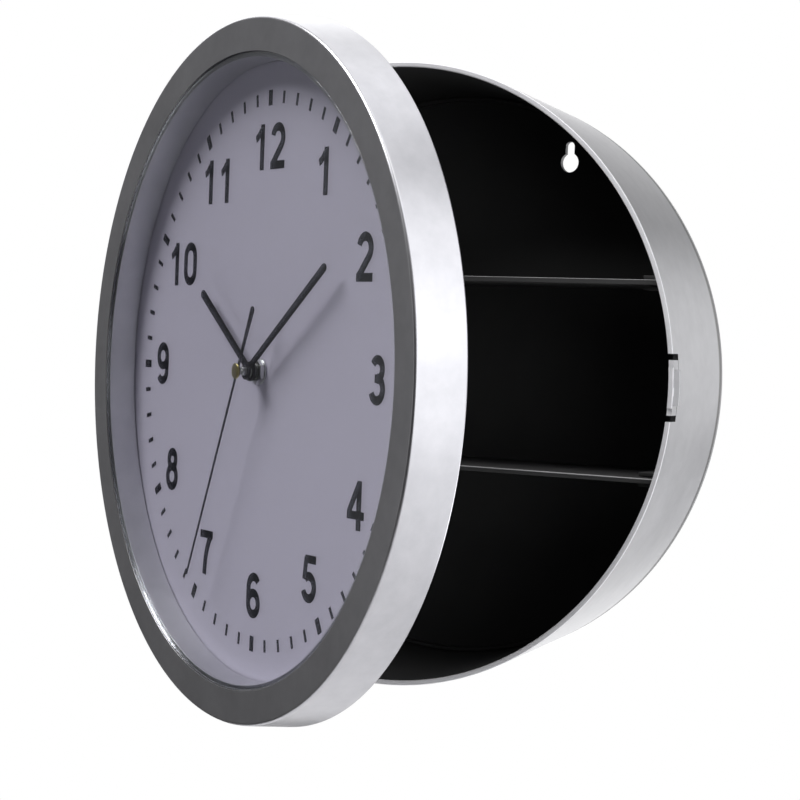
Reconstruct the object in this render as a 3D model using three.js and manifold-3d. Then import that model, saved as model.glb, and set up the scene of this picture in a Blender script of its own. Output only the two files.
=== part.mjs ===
// Clock safe: a round hollow wall case with two shelves, whose clock face is a hinged door.
// Millimetres, +Z up, +X to the right as seen from the front, -Y towards the room.
// The origin is the centre of the flat back face that lies on the wall.
// The door, and with it the whole clock, is shown standing open on its hinge at 9 o'clock.

import * as THREE from 'three';
import { mergeVertices } from 'three/addons/utils/BufferGeometryUtils.js';
import Module from 'manifold-3d';

const wasm = await Module();
wasm.setup();

// Pose shown: the door's opening, and the hands clockwise from 12
const OPEN_ANGLE = 28.5;
const HOUR_ANGLE = 304.1;
const MINUTE_ANGLE = 56.3;
const SECOND_ANGLE = 205.2;

// Clearances
const GAP = 0.3;
const SHAFT_GAP = 0.15;
const MOUTH_GAP = 0.4;

// How far a cutter reaches past the surface it opens, and how far joined shapes overlap
const OVERCUT = 1;

// Distance within which corners of a surface are one corner
const WELD = 1e-5;

// Facets round the large rings, round bosses and holes, and round thin shafts
const RING_FACETS = 96;
const BOSS_FACETS = 20;
const SHAFT_FACETS = 12;

// Door's radius at its front edge, which the radii of the case and of the door's pieces follow
const DOOR_R = 125;

// Case: a tapered wall that is widest at its mouth, inside the door's skirt, and a flat back panel
const CASE_DEPTH = 59;
const CASE_INSET = 7;
const CASE_TAPER = 5;
const CASE_MOUTH_R = DOOR_R - CASE_INSET;
const CASE_BACK_R = CASE_MOUTH_R - CASE_TAPER;
const CASE_WALL = 1.9;
const CASE_EDGE = 0.5;
const BACK_PANEL = 2;
const SPIGOT_HEIGHT = 3;
const SPIGOT_WALL = 1.6;

// Keyhole slots in the back panel that the case hangs on
const KEYHOLE_X = 46.5;
const KEYHOLE_INSET = 28.2;
const KEYHOLE_Z = CASE_BACK_R - KEYHOLE_INSET;
const KEYHOLE_HEAD_R = 3.8;
const KEYHOLE_NECK_R = 1.9;
const KEYHOLE_RISE = 6.2;

// Shelves, and the pairs of rails on the wall that hold their ends
const SHELF_HEIGHTS = { upper: 37, lower: -33.5 };
const SHELF_THICKNESS = 1.8;
const SHELF_SETBACK = 2.2;
const RAIL_THICKNESS = 1.4;
const RAIL_WIDTH = 4;
const RAIL_SETBACK = 9;

// Snap catch at 3 o'clock: a tongue of the wall between two slots, with a raised pad
const TONGUE_HALF_WIDTH = 9.8;
const TONGUE_LENGTH = 5.7;
const SLOT_WIDTH = 2.2;
const PAD_HEIGHT = 1.5;
const PAD_HALF_WIDTH = 6.4;
const PAD_START = 0.7;
const PAD_END = 3.9;
const SHOULDER_WIDTH = 2.6;
const SHOULDER_STEP = 0.8;

// Door: bezel with a front face, a flared skirt and an inner wall down to the dial
const SKIRT_FLARE = 1.5;
const SKIRT_R = DOOR_R + SKIRT_FLARE;
const SKIRT_DEPTH = 18.5;
const SKIRT_WALL = 1.8;
const FACE_THICKNESS = 2.2;
const EDGE_ROUND = 1.1;
const LIP_CHAMFER = 0.5;
const FACE_WIDTH = 14;
const WELL_R = DOOR_R - FACE_WIDTH;
const WELL_TAPER = 0.5;
const WELL_WALL = 2.2;
const WELL_DEPTH = 11.6;

// Lens and dial
const LENS_SEAT = 1.4;
const LENS_R = WELL_R + LENS_SEAT;
const LENS_THICKNESS = 0.75;
const LENS_RECESS = 0.05;
const LENS_BEVEL = 1.2;
const DIAL_OVERLAP = 1.2;
const DIAL_R = WELL_R + DIAL_OVERLAP;
const DIAL_THICKNESS = 0.6;

// Back plate of the door, with a flange on the bosses and a step that drops into the case mouth
const FLANGE_INSET = 5.5;
const PLATE_FLANGE_R = DOOR_R - FLANGE_INSET;
const PLATE_FLANGE = 1.7;
const STEP_INSET = 3;
const PLATE_STEP_R = CASE_MOUTH_R - STEP_INSET;
const PLATE_THICKNESS = 1.6;
const BOSS_COUNT = 6;
const BOSS_INSET = 8;
const BOSS_CIRCLE_R = DOOR_R - BOSS_INSET;
const BOSS_R = 3.1;
const PILOT_R = 1.1;
const PILOT_DEPTH = 7;
const SCREW_HOLE_R = 1.6;
const SCREW_SINK_R = 2.4;
const BOSS_RIB = 1.4;

// Hinge at 9 o'clock: a pin through three knuckles of the case and two of the door
const HINGE_INSET = 1;
const HINGE_X = HINGE_INSET - DOOR_R;
const CLOSED_OVERHANG = 13;
const KNUCKLE_R = 2.6;
const PIN_R = 1.2;
const PIN_HEAD_R = 2.1;
const PIN_HEAD = 0.8;
const CASE_KNUCKLE = 10;
const DOOR_KNUCKLE = 14;
const HINGE_NOTCH_HALF = 44;
const HINGE_NOTCH_DEPTH = 9.5;
const HINGE_ARM = 4.2;

// Strike inside the skirt that snaps over the catch pad
const STRIKE_HALF_WIDTH = 7;
const STRIKE_DEPTH = 1.5;
const STRIKE_RIB = 1.8;

// Single AA cell and its contacts
const CELL_R = 7.1;
const CELL_LENGTH = 50.5;
const CELL_NUB_R = 2.7;
const CELL_NUB = 1.3;
const CONTACT_ROOM = 1.55;
const CELL_BAY_HALF_LENGTH = CELL_LENGTH / 2 + CONTACT_ROOM;
const CELL_BAY_MARGIN = 0.5;
const CELL_DROP = 18.4;
const CONTACT_THICKNESS = 0.4;
const CONTACT_WIDTH = 8;
const CONTACT_HEIGHT = 10;

// Quartz movement behind the dial, wide enough for the cell
const HOUSING_WALL = 1.2;
const MOVEMENT_SIZE = 2 * (CELL_BAY_HALF_LENGTH + HOUSING_WALL);
const MOVEMENT_CORNER = 3;
const MOVEMENT_DEPTH = 16.6;
const GASKET_R = 14;
const GASKET_THICKNESS = 0.6;
const FRAME_WALL = 1.5;
const FRAME_HEIGHT = 2;
const BUSHING_R = 3.1;
const BUSHING_REACH = 3.2;
const BUSHING_BLIND = 2;
const WASHER_R = 4.7;
const WASHER_THICKNESS = 0.4;
const NUT_FLATS = 8.2;
const NUT_THICKNESS = 1.6;
const COVER_THICKNESS = 1.6;
const COVER_MARGIN = 2.6;
const COVER_CORNER = 1;
const KNOB_R = 6.8;
const KNOB_THICKNESS = 2.8;
const KNOB_STEM_R = 1.5;
const KNOB_OFFSET = 9;
const KNOB_FLUTES = 20;
const KNOB_FLUTE_DEPTH = 0.5;

// Nested arbors, and the hands that they carry, by their distance behind the door's front plane
const PIPE_R = 2.3;
const MINUTE_ARBOR_R = 1.5;
const SECOND_ARBOR_R = 0.6;
const HOUR_HAND = { plane: 7.2, thickness: 0.5, reach: 50.5, root: 2.8, tip: 3.2, hub: 3.5, hubDepth: 0.8 };
const MINUTE_HAND = { plane: 5.6, thickness: 0.5, reach: 67.2, root: 2.4, tip: 3, hub: 3, hubDepth: 0.8 };
const SECOND_HAND = { plane: 2.1, thickness: 0.35, reach: 84.8, root: 1.1, tip: 0.8, hub: 2.2, hubDepth: 0.5 };
const COUNTERWEIGHT = { reach: 25.4, width: 2.6 };
const MINUTE_ARBOR_REACH = 1.6;
const CAP_R = 2.85;
const CAP_DEPTH = 0.8;
const CAP_DOME = 0.25;

// Places that follow from the sizes above
const rimY = -CASE_DEPTH;
const doorFrontY = rimY - CLOSED_OVERHANG;
const dialFront = WELL_DEPTH + GAP;
const plateFront = dialFront + DIAL_THICKNESS + GAP;
const plateRear = plateFront + PLATE_THICKNESS;
const flangeRear = CLOSED_OVERHANG - MOUTH_GAP;
const flangeFront = flangeRear - PLATE_FLANGE;
const bossEnd = flangeFront - GAP;
const gasketFront = plateRear + GAP / 2;
const movementFront = gasketFront + GASKET_THICKNESS + GAP / 2;
const movementRear = movementFront + MOVEMENT_DEPTH;
const bushingFront = dialFront - BUSHING_REACH;
const boreEnd = movementFront + BUSHING_BLIND;
const arborRear = boreEnd - GAP;
const plateBore = BUSHING_R + 2 * GAP;
const pinHole = PIN_R + SHAFT_GAP;

// Outer radius of the case wall, y millimetres along the case
function caseOuterR(y) {
  return CASE_BACK_R + (CASE_MOUTH_R - CASE_BACK_R) * (-y / CASE_DEPTH);
}

// Outer radius of the door's skirt, at a depth behind the front plane
function skirtOuterR(depth) {
  return DOOR_R + (SKIRT_R - DOOR_R) * (depth / SKIRT_DEPTH);
}

// Solid from a closed geometry, turned face side out
function solidOf(source) {
  const bare = source.index ? source.toNonIndexed() : source.clone();
  bare.deleteAttribute('normal');
  bare.deleteAttribute('uv');
  const merged = mergeVertices(bare, WELD);
  const points = merged.attributes.position;
  const corners = merged.index.array;
  const a = new THREE.Vector3();
  const b = new THREE.Vector3();
  const c = new THREE.Vector3();
  const kept = [];
  let volume = 0;
  for (let i = 0; i < corners.length; i += 3) {
    const [p, q, r] = [corners[i], corners[i + 1], corners[i + 2]];
    if (p === q || q === r || r === p) continue;
    a.fromBufferAttribute(points, p);
    b.fromBufferAttribute(points, q);
    c.fromBufferAttribute(points, r);
    volume += a.dot(b.cross(c));
    kept.push(p, q, r);
  }
  if (volume < 0) kept.reverse();
  const mesh = new wasm.Mesh({
    numProp: 3,
    vertProperties: Float32Array.from(points.array),
    triVerts: Uint32Array.from(kept),
  });
  return new wasm.Manifold(mesh);
}

function geometryOf(solid) {
  const mesh = solid.getMesh();
  const geometry = new THREE.BufferGeometry();
  geometry.setAttribute('position', new THREE.BufferAttribute(mesh.vertProperties, 3));
  geometry.setIndex(new THREE.BufferAttribute(mesh.triVerts, 1));
  geometry.computeVertexNormals();
  return geometry;
}

// Ring or disc turned about the Y axis from [radius, y] points
function turned(profile, facets = RING_FACETS) {
  const points = profile.map(([r, y]) => new THREE.Vector2(r, y));
  const onAxis = profile[0][0] === 0 && profile[profile.length - 1][0] === 0;
  if (!onAxis) points.push(points[0].clone());
  return solidOf(new THREE.LatheGeometry(points, facets));
}

function box(x, y, z) {
  const geometry = new THREE.BoxGeometry(x[1] - x[0], y[1] - y[0], z[1] - z[0]);
  geometry.translate((x[0] + x[1]) / 2, (y[0] + y[1]) / 2, (z[0] + z[1]) / 2);
  return solidOf(geometry);
}

// Round bar along Y
function bar(r, y, x = 0, z = 0, facets = BOSS_FACETS) {
  const geometry = new THREE.CylinderGeometry(r, r, y[1] - y[0], facets);
  geometry.translate(x, (y[0] + y[1]) / 2, z);
  return solidOf(geometry);
}

// Round bar along Z
function post(r, z, x, y, facets = BOSS_FACETS) {
  const geometry = new THREE.CylinderGeometry(r, r, z[1] - z[0], facets);
  geometry.rotateX(Math.PI / 2);
  geometry.translate(x, y, (z[0] + z[1]) / 2);
  return solidOf(geometry);
}

// Outline drawn in X and Z, made as thick as the stretch of Y
function plate(shape, y, curveSegments = 6) {
  const geometry = new THREE.ExtrudeGeometry(shape, {
    depth: y[1] - y[0],
    bevelEnabled: false,
    curveSegments,
  });
  geometry.rotateX(Math.PI / 2);
  geometry.translate(0, y[1], 0);
  return solidOf(geometry);
}

// Rounded rectangle about a centre in X and Z
function roundedRectangle(x, z, halfX, halfZ, corner) {
  const shape = new THREE.Shape();
  shape.moveTo(x - halfX + corner, z - halfZ);
  shape.lineTo(x + halfX - corner, z - halfZ);
  shape.absarc(x + halfX - corner, z - halfZ + corner, corner, -Math.PI / 2, 0);
  shape.lineTo(x + halfX, z + halfZ - corner);
  shape.absarc(x + halfX - corner, z + halfZ - corner, corner, 0, Math.PI / 2);
  shape.lineTo(x - halfX + corner, z + halfZ);
  shape.absarc(x - halfX + corner, z + halfZ - corner, corner, Math.PI / 2, Math.PI);
  shape.lineTo(x - halfX, z - halfZ + corner);
  shape.absarc(x - halfX + corner, z - halfZ + corner, corner, Math.PI, 1.5 * Math.PI);
  return shape;
}

// Point on a clock circle, at an angle clockwise from 12
function clockPoint(r, degrees) {
  const angle = THREE.MathUtils.degToRad(degrees);
  return [r * Math.sin(angle), r * Math.cos(angle)];
}

function turnedAboutAxis(solid, degrees) {
  return solid.rotate([0, degrees, 0]);
}

function joined(solids) {
  return solids.reduce((all, next) => all.add(next));
}

function part(name, solid, color, roughness, metalness = 0) {
  const material = new THREE.MeshStandardMaterial({ color, roughness, metalness });
  const mesh = new THREE.Mesh(geometryOf(solid), material);
  mesh.name = name;
  return mesh;
}

// Space inside the case wall, or that space drawn in by a clearance
function caseInside(inset) {
  return turned([
    [0, rimY - OVERCUT],
    [caseOuterR(rimY - OVERCUT) - CASE_WALL - inset, rimY - OVERCUT],
    [caseOuterR(0) - CASE_WALL - inset, 0],
    [0, 0],
  ]);
}

// Plain wall of the case, without its cut-outs
function caseRing(y0, y1) {
  return turned([
    [caseOuterR(y0) - CASE_EDGE, y0],
    [caseOuterR(y0 + CASE_EDGE), y0 + CASE_EDGE],
    [caseOuterR(y1), y1],
    [caseOuterR(y1) - CASE_WALL, y1],
    [caseOuterR(y0) - CASE_WALL, y0],
  ]);
}

function caseWall() {
  const rear = -BACK_PANEL - GAP;
  const pivotY = rimY;
  const inside = caseInside(0);
  const outside = turned([
    [0, rimY],
    [caseOuterR(rimY), rimY],
    [caseOuterR(rear), rear],
    [0, rear],
  ]);
  const pieces = [caseRing(rimY, rear)];
  for (const z of Object.values(SHELF_HEIGHTS)) {
    for (const side of [-1, 1]) {
      for (const above of [-1, 1]) {
        const near = z + above * (SHELF_THICKNESS / 2 + GAP);
        const far = near + above * RAIL_THICKNESS;
        const level = [Math.min(near, far), Math.max(near, far)];
        const reach = Math.sqrt(caseOuterR(rear) ** 2 - z ** 2) - CASE_WALL - RAIL_WIDTH;
        const across = side < 0 ? [-CASE_MOUTH_R, -reach] : [reach, CASE_MOUTH_R];
        const rail = box(across, [rimY + RAIL_SETBACK, rear - SPIGOT_HEIGHT - GAP], level);
        pieces.push(rail.intersect(outside));
      }
    }
  }
  for (const z of [-1, 0, 1]) {
    const middle = z * (CASE_KNUCKLE + DOOR_KNUCKLE + 2 * GAP);
    const stretch = [middle - CASE_KNUCKLE / 2, middle + CASE_KNUCKLE / 2];
    const web = box([HINGE_X, -CASE_BACK_R + CASE_WALL], [pivotY, pivotY + KNUCKLE_R], stretch);
    pieces.push(web.subtract(inside));
    pieces.push(post(KNUCKLE_R, stretch, HINGE_X, pivotY));
  }
  const slotEnd = TONGUE_HALF_WIDTH + SLOT_WIDTH;
  const catchWindow = box(
    [CASE_BACK_R / 2, CASE_MOUTH_R + PAD_HEIGHT],
    [rimY - OVERCUT, rimY + TONGUE_LENGTH + GAP],
    [-slotEnd, slotEnd],
  );
  const hingeReach = 2 * (CASE_KNUCKLE + DOOR_KNUCKLE);
  const pinBore = post(pinHole, [-hingeReach, hingeReach], HINGE_X, pivotY, SHAFT_FACETS);
  return joined(pieces).subtract(catchWindow).subtract(pinBore);
}

function catchTongue() {
  const strip = box(
    [CASE_BACK_R / 2, CASE_MOUTH_R + PAD_HEIGHT],
    [rimY - OVERCUT, rimY + TONGUE_LENGTH],
    [-TONGUE_HALF_WIDTH, TONGUE_HALF_WIDTH],
  );
  const shoulders = [-1, 1].map((side) => {
    const inner = side * (TONGUE_HALF_WIDTH - SHOULDER_WIDTH);
    const outer = side * (TONGUE_HALF_WIDTH + OVERCUT);
    return box(
      [CASE_BACK_R / 2, CASE_MOUTH_R + PAD_HEIGHT],
      [rimY - OVERCUT, rimY + SHOULDER_STEP],
      [Math.min(inner, outer), Math.max(inner, outer)],
    );
  });
  const blade = caseRing(rimY, rimY + 2 * TONGUE_LENGTH).intersect(strip).subtract(joined(shoulders));
  const crest = CASE_MOUTH_R + PAD_HEIGHT;
  const root = CASE_MOUTH_R - CASE_WALL / 2;
  const pad = turned([
    [root, rimY + PAD_START],
    [crest, rimY + (PAD_START + PAD_END) / 2],
    [crest, rimY + PAD_END - CASE_EDGE],
    [root, rimY + PAD_END],
  ]);
  const padStrip = box([0, 2 * CASE_MOUTH_R], [rimY, 0], [-PAD_HALF_WIDTH, PAD_HALF_WIDTH]);
  return blade.add(pad.intersect(padStrip));
}

function keyhole(x) {
  const head = bar(KEYHOLE_HEAD_R, [-BACK_PANEL - OVERCUT, OVERCUT], x, KEYHOLE_Z);
  const neck = bar(KEYHOLE_NECK_R, [-BACK_PANEL - OVERCUT, OVERCUT], x, KEYHOLE_Z + KEYHOLE_RISE);
  const slot = box(
    [x - KEYHOLE_NECK_R, x + KEYHOLE_NECK_R],
    [-BACK_PANEL - OVERCUT, OVERCUT],
    [KEYHOLE_Z, KEYHOLE_Z + KEYHOLE_RISE],
  );
  return joined([head, neck, slot]);
}

function caseBack() {
  const spigotR = caseOuterR(-BACK_PANEL - SPIGOT_HEIGHT) - CASE_WALL - GAP;
  const panel = turned([
    [0, -BACK_PANEL],
    [caseOuterR(-BACK_PANEL), -BACK_PANEL],
    [caseOuterR(-CASE_EDGE), -CASE_EDGE],
    [CASE_BACK_R - CASE_EDGE, 0],
    [0, 0],
  ]);
  const spigot = turned([
    [spigotR - SPIGOT_WALL, -BACK_PANEL - SPIGOT_HEIGHT],
    [spigotR, -BACK_PANEL - SPIGOT_HEIGHT],
    [spigotR, -BACK_PANEL / 2],
    [spigotR - SPIGOT_WALL, -BACK_PANEL / 2],
  ]);
  const shelfSlots = Object.values(SHELF_HEIGHTS).map((z) =>
    box(
      [-CASE_BACK_R, CASE_BACK_R],
      [-BACK_PANEL - SPIGOT_HEIGHT - OVERCUT, -BACK_PANEL],
      [z - SHELF_THICKNESS / 2 - GAP, z + SHELF_THICKNESS / 2 + GAP],
    ),
  );
  return panel
    .add(spigot.subtract(joined(shelfSlots)))
    .subtract(keyhole(-KEYHOLE_X))
    .subtract(keyhole(KEYHOLE_X));
}

function shelf(z) {
  const board = box(
    [-CASE_MOUTH_R, CASE_MOUTH_R],
    [rimY + SHELF_SETBACK, -BACK_PANEL - GAP],
    [z - SHELF_THICKNESS / 2, z + SHELF_THICKNESS / 2],
  );
  return board.intersect(caseInside(GAP));
}

function hingePin() {
  const half = 1.5 * CASE_KNUCKLE + DOOR_KNUCKLE + 2 * GAP;
  const pin = post(PIN_R, [-half, half + GAP], HINGE_X, rimY, SHAFT_FACETS);
  const head = post(PIN_HEAD_R, [half + GAP, half + GAP + PIN_HEAD], HINGE_X, rimY, SHAFT_FACETS);
  return pin.add(head);
}

// Bezel section, from the lens rebate round the outside to the foot of the inner wall
function bezelSection() {
  const rebateR = LENS_R + GAP;
  const rebateDepth = LENS_RECESS + LENS_THICKNESS + GAP;
  const corner = [];
  const cornerSteps = 3;
  for (let i = 0; i <= cornerSteps; i += 1) {
    const angle = (i / cornerSteps) * (Math.PI / 2);
    corner.push([
      DOOR_R - EDGE_ROUND + EDGE_ROUND * Math.sin(angle),
      EDGE_ROUND - EDGE_ROUND * Math.cos(angle),
    ]);
  }
  return [
    [rebateR, 0],
    ...corner,
    [skirtOuterR(SKIRT_DEPTH - LIP_CHAMFER), SKIRT_DEPTH - LIP_CHAMFER],
    [SKIRT_R - LIP_CHAMFER, SKIRT_DEPTH],
    [SKIRT_R - SKIRT_WALL, SKIRT_DEPTH],
    [skirtOuterR(FACE_THICKNESS) - SKIRT_WALL, FACE_THICKNESS],
    [WELL_R + WELL_WALL, FACE_THICKNESS],
    [WELL_R - WELL_TAPER + WELL_WALL, WELL_DEPTH],
    [WELL_R - WELL_TAPER, WELL_DEPTH],
    [WELL_R, rebateDepth],
    [rebateR, rebateDepth],
  ];
}

// Outside of the skirt as a full cone, to trim what stands against it
function doorOutside() {
  return turned([
    [0, 0],
    [skirtOuterR(0), 0],
    [skirtOuterR(SKIRT_DEPTH), SKIRT_DEPTH],
    [0, SKIRT_DEPTH],
  ]);
}

function screwBosses() {
  const bosses = [];
  for (let i = 0; i < BOSS_COUNT; i += 1) {
    const boss = bar(BOSS_R, [FACE_THICKNESS / 2, bossEnd], 0, BOSS_CIRCLE_R);
    const rib = box(
      [-BOSS_RIB / 2, BOSS_RIB / 2],
      [FACE_THICKNESS / 2, bossEnd - BOSS_RIB],
      [BOSS_CIRCLE_R, DOOR_R - SKIRT_WALL / 2],
    );
    bosses.push(turnedAboutAxis(boss.add(rib), (360 / BOSS_COUNT) * i));
  }
  return joined(bosses);
}

function screwBores(r, depths) {
  const bores = [];
  for (let i = 0; i < BOSS_COUNT; i += 1) {
    const [x, z] = clockPoint(BOSS_CIRCLE_R, (360 / BOSS_COUNT) * i);
    bores.push(bar(r, depths, x, z, SHAFT_FACETS));
  }
  return joined(bores);
}

// Catch strike: a hooked lug across two ribs on the inside of the skirt
function strike() {
  const lipR = CASE_MOUTH_R + PAD_HEIGHT + GAP;
  const lug = turned([
    [lipR, SKIRT_DEPTH - STRIKE_DEPTH],
    [DOOR_R, SKIRT_DEPTH - STRIKE_DEPTH],
    [DOOR_R, SKIRT_DEPTH],
    [lipR + STRIKE_DEPTH / 2, SKIRT_DEPTH],
  ]).intersect(box([0, 2 * DOOR_R], [0, SKIRT_DEPTH], [-STRIKE_HALF_WIDTH, STRIKE_HALF_WIDTH]));
  const ribRing = turned([
    [lipR + GAP, FACE_THICKNESS / 2],
    [DOOR_R - SKIRT_WALL / 2, FACE_THICKNESS / 2],
    [DOOR_R, SKIRT_DEPTH - STRIKE_DEPTH / 2],
    [lipR + GAP, SKIRT_DEPTH - STRIKE_DEPTH / 2],
  ]);
  const ribs = [-1, 1].map((side) => {
    const inner = side * (STRIKE_HALF_WIDTH - STRIKE_RIB);
    const outer = side * STRIKE_HALF_WIDTH;
    const across = [Math.min(inner, outer), Math.max(inner, outer)];
    return ribRing.intersect(box([0, 2 * DOOR_R], [0, SKIRT_DEPTH], across));
  });
  return joined([lug, ...ribs]);
}

function bezelFrame() {
  const notch = box(
    [-2 * DOOR_R, -PLATE_STEP_R],
    [HINGE_NOTCH_DEPTH, 2 * SKIRT_DEPTH],
    [-HINGE_NOTCH_HALF, HINGE_NOTCH_HALF],
  );
  const ring = turned(bezelSection()).subtract(notch);
  const outside = doorOutside();
  const knuckles = [-1, 1].map((side) => {
    const middle = side * (CASE_KNUCKLE / 2 + DOOR_KNUCKLE / 2 + GAP);
    const stretch = [middle - DOOR_KNUCKLE / 2, middle + DOOR_KNUCKLE / 2];
    const arm = box(
      [HINGE_X - HINGE_ARM / 2, HINGE_X + HINGE_ARM / 2],
      [FACE_THICKNESS / 2, CLOSED_OVERHANG],
      stretch,
    );
    return arm.intersect(outside).add(post(KNUCKLE_R, stretch, HINGE_X, CLOSED_OVERHANG));
  });
  const hingeReach = 2 * (CASE_KNUCKLE + DOOR_KNUCKLE);
  const pinBore = post(pinHole, [-hingeReach, hingeReach], HINGE_X, CLOSED_OVERHANG, SHAFT_FACETS);
  return joined([ring, screwBosses(), strike(), ...knuckles])
    .subtract(pinBore)
    .subtract(screwBores(PILOT_R, [bossEnd - PILOT_DEPTH, bossEnd + OVERCUT]));
}

function lens() {
  return turned([
    [0, LENS_RECESS],
    [LENS_R - LENS_BEVEL, LENS_RECESS],
    [LENS_R, LENS_RECESS + LENS_THICKNESS / 2],
    [LENS_R, LENS_RECESS + LENS_THICKNESS],
    [0, LENS_RECESS + LENS_THICKNESS],
  ]);
}

function dialPlate() {
  return turned([
    [BUSHING_R + GAP, dialFront],
    [DIAL_R, dialFront],
    [DIAL_R, dialFront + DIAL_THICKNESS],
    [BUSHING_R + GAP, dialFront + DIAL_THICKNESS],
  ]);
}

function doorBackPlate() {
  const flangeR = WELL_R + WELL_WALL + GAP;
  const disc = turned([
    [plateBore, plateFront],
    [flangeR, plateFront],
    [flangeR, flangeFront],
    [PLATE_FLANGE_R, flangeFront],
    [PLATE_FLANGE_R, flangeRear],
    [PLATE_STEP_R, flangeRear],
    [PLATE_STEP_R, plateRear],
    [plateBore, plateRear],
  ]);
  const inner = MOVEMENT_SIZE / 2 + GAP;
  const outer = inner + FRAME_WALL;
  const surround = roundedRectangle(0, 0, outer, outer, MOVEMENT_CORNER + FRAME_WALL);
  surround.holes.push(roundedRectangle(0, 0, inner, inner, MOVEMENT_CORNER));
  const frame = plate(surround, [plateRear - PLATE_THICKNESS / 2, plateRear + FRAME_HEIGHT]);
  const sinks = [];
  for (let i = 0; i < BOSS_COUNT; i += 1) {
    const [x, z] = clockPoint(BOSS_CIRCLE_R, (360 / BOSS_COUNT) * i);
    const cone = new THREE.CylinderGeometry(SCREW_SINK_R, SCREW_HOLE_R, PLATE_FLANGE / 2, SHAFT_FACETS);
    cone.translate(x, flangeRear - PLATE_FLANGE / 4, z);
    sinks.push(solidOf(cone));
  }
  return disc
    .add(frame)
    .subtract(screwBores(SCREW_HOLE_R, [flangeFront - OVERCUT, flangeRear + OVERCUT]))
    .subtract(joined(sinks));
}

function gasket() {
  const y = [gasketFront, gasketFront + GASKET_THICKNESS];
  return bar(GASKET_R, y).subtract(bar(BUSHING_R + GAP, [y[0] - OVERCUT, y[1] + OVERCUT]));
}

// Works side of the housing, above the cell, that the rear cover closes
const coverHalfX = MOVEMENT_SIZE / 2 - COVER_MARGIN;
const coverTop = MOVEMENT_SIZE / 2 - COVER_MARGIN;
const coverBottom = -CELL_DROP + CELL_R + CELL_BAY_MARGIN + COVER_MARGIN;
const coverFront = movementRear - COVER_THICKNESS;
const cellCentreY = movementRear - CELL_R;

function movementHousing() {
  const half = MOVEMENT_SIZE / 2;
  const block = plate(roundedRectangle(0, 0, half, half, MOVEMENT_CORNER), [movementFront, movementRear]);
  const bushing = bar(BUSHING_R, [bushingFront, movementFront + OVERCUT]);
  const bore = bar(PIPE_R + SHAFT_GAP, [bushingFront - OVERCUT, boreEnd]);
  const bayHalf = CELL_R + CELL_BAY_MARGIN;
  const bay = box(
    [-CELL_BAY_HALF_LENGTH, CELL_BAY_HALF_LENGTH],
    [cellCentreY - CELL_R - GAP, movementRear + OVERCUT],
    [-CELL_DROP - bayHalf, -CELL_DROP + bayHalf],
  );
  const pocket = box(
    [-coverHalfX - GAP, coverHalfX + GAP],
    [coverFront - GAP, movementRear + OVERCUT],
    [coverBottom - GAP, coverTop + GAP],
  );
  const wellFloor = movementRear - KNOB_THICKNESS - GAP;
  const knobWell = bar(KNOB_R + 2 * GAP, [wellFloor, movementRear + OVERCUT], 0, KNOB_OFFSET);
  const stemBore = bar(
    KNOB_STEM_R + SHAFT_GAP,
    [movementRear - 2 * KNOB_THICKNESS - GAP, movementRear],
    0,
    KNOB_OFFSET,
    SHAFT_FACETS,
  );
  return joined([block, bushing]).subtract(joined([bore, bay, pocket, knobWell, stemBore]));
}

function movementCover() {
  const middle = (coverTop + coverBottom) / 2;
  const outline = roundedRectangle(0, middle, coverHalfX, (coverTop - coverBottom) / 2, COVER_CORNER);
  const well = bar(KNOB_R + 2 * GAP, [coverFront - OVERCUT, movementRear + OVERCUT], 0, KNOB_OFFSET);
  return plate(outline, [coverFront, movementRear]).subtract(well);
}

function settingKnob() {
  const rim = new THREE.Shape();
  for (let i = 0; i < 2 * KNOB_FLUTES; i += 1) {
    const r = i % 2 === 0 ? KNOB_R : KNOB_R - KNOB_FLUTE_DEPTH;
    const [x, z] = clockPoint(r, (180 / KNOB_FLUTES) * i);
    if (i === 0) rim.moveTo(x, z);
    else rim.lineTo(x, z);
  }
  const disc = plate(rim, [movementRear - KNOB_THICKNESS, movementRear + GAP]);
  const stemY = [movementRear - 2 * KNOB_THICKNESS, movementRear - OVERCUT];
  const stem = bar(KNOB_STEM_R, stemY, 0, 0, SHAFT_FACETS);
  return disc.add(stem);
}

// Cell lying along X, its nub towards +X
function cell() {
  const body = turned(
    [
      [0, 0],
      [CELL_R - CASE_EDGE, 0],
      [CELL_R, CASE_EDGE],
      [CELL_R, CELL_LENGTH - CELL_NUB - CASE_EDGE],
      [CELL_R - CASE_EDGE, CELL_LENGTH - CELL_NUB],
      [CELL_NUB_R, CELL_LENGTH - CELL_NUB],
      [CELL_NUB_R, CELL_LENGTH],
      [0, CELL_LENGTH],
    ],
    BOSS_FACETS,
  );
  const nubEnd = CELL_BAY_HALF_LENGTH - CONTACT_THICKNESS - 2 * GAP;
  return body.rotate([0, 0, -90]).translate([nubEnd - CELL_LENGTH, cellCentreY, -CELL_DROP]);
}

function positiveContact() {
  const x1 = CELL_BAY_HALF_LENGTH - GAP;
  return box(
    [x1 - CONTACT_THICKNESS, x1],
    [cellCentreY - CONTACT_HEIGHT / 2, cellCentreY + CONTACT_HEIGHT / 2],
    [-CELL_DROP - CONTACT_WIDTH / 2, -CELL_DROP + CONTACT_WIDTH / 2],
  );
}

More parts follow.
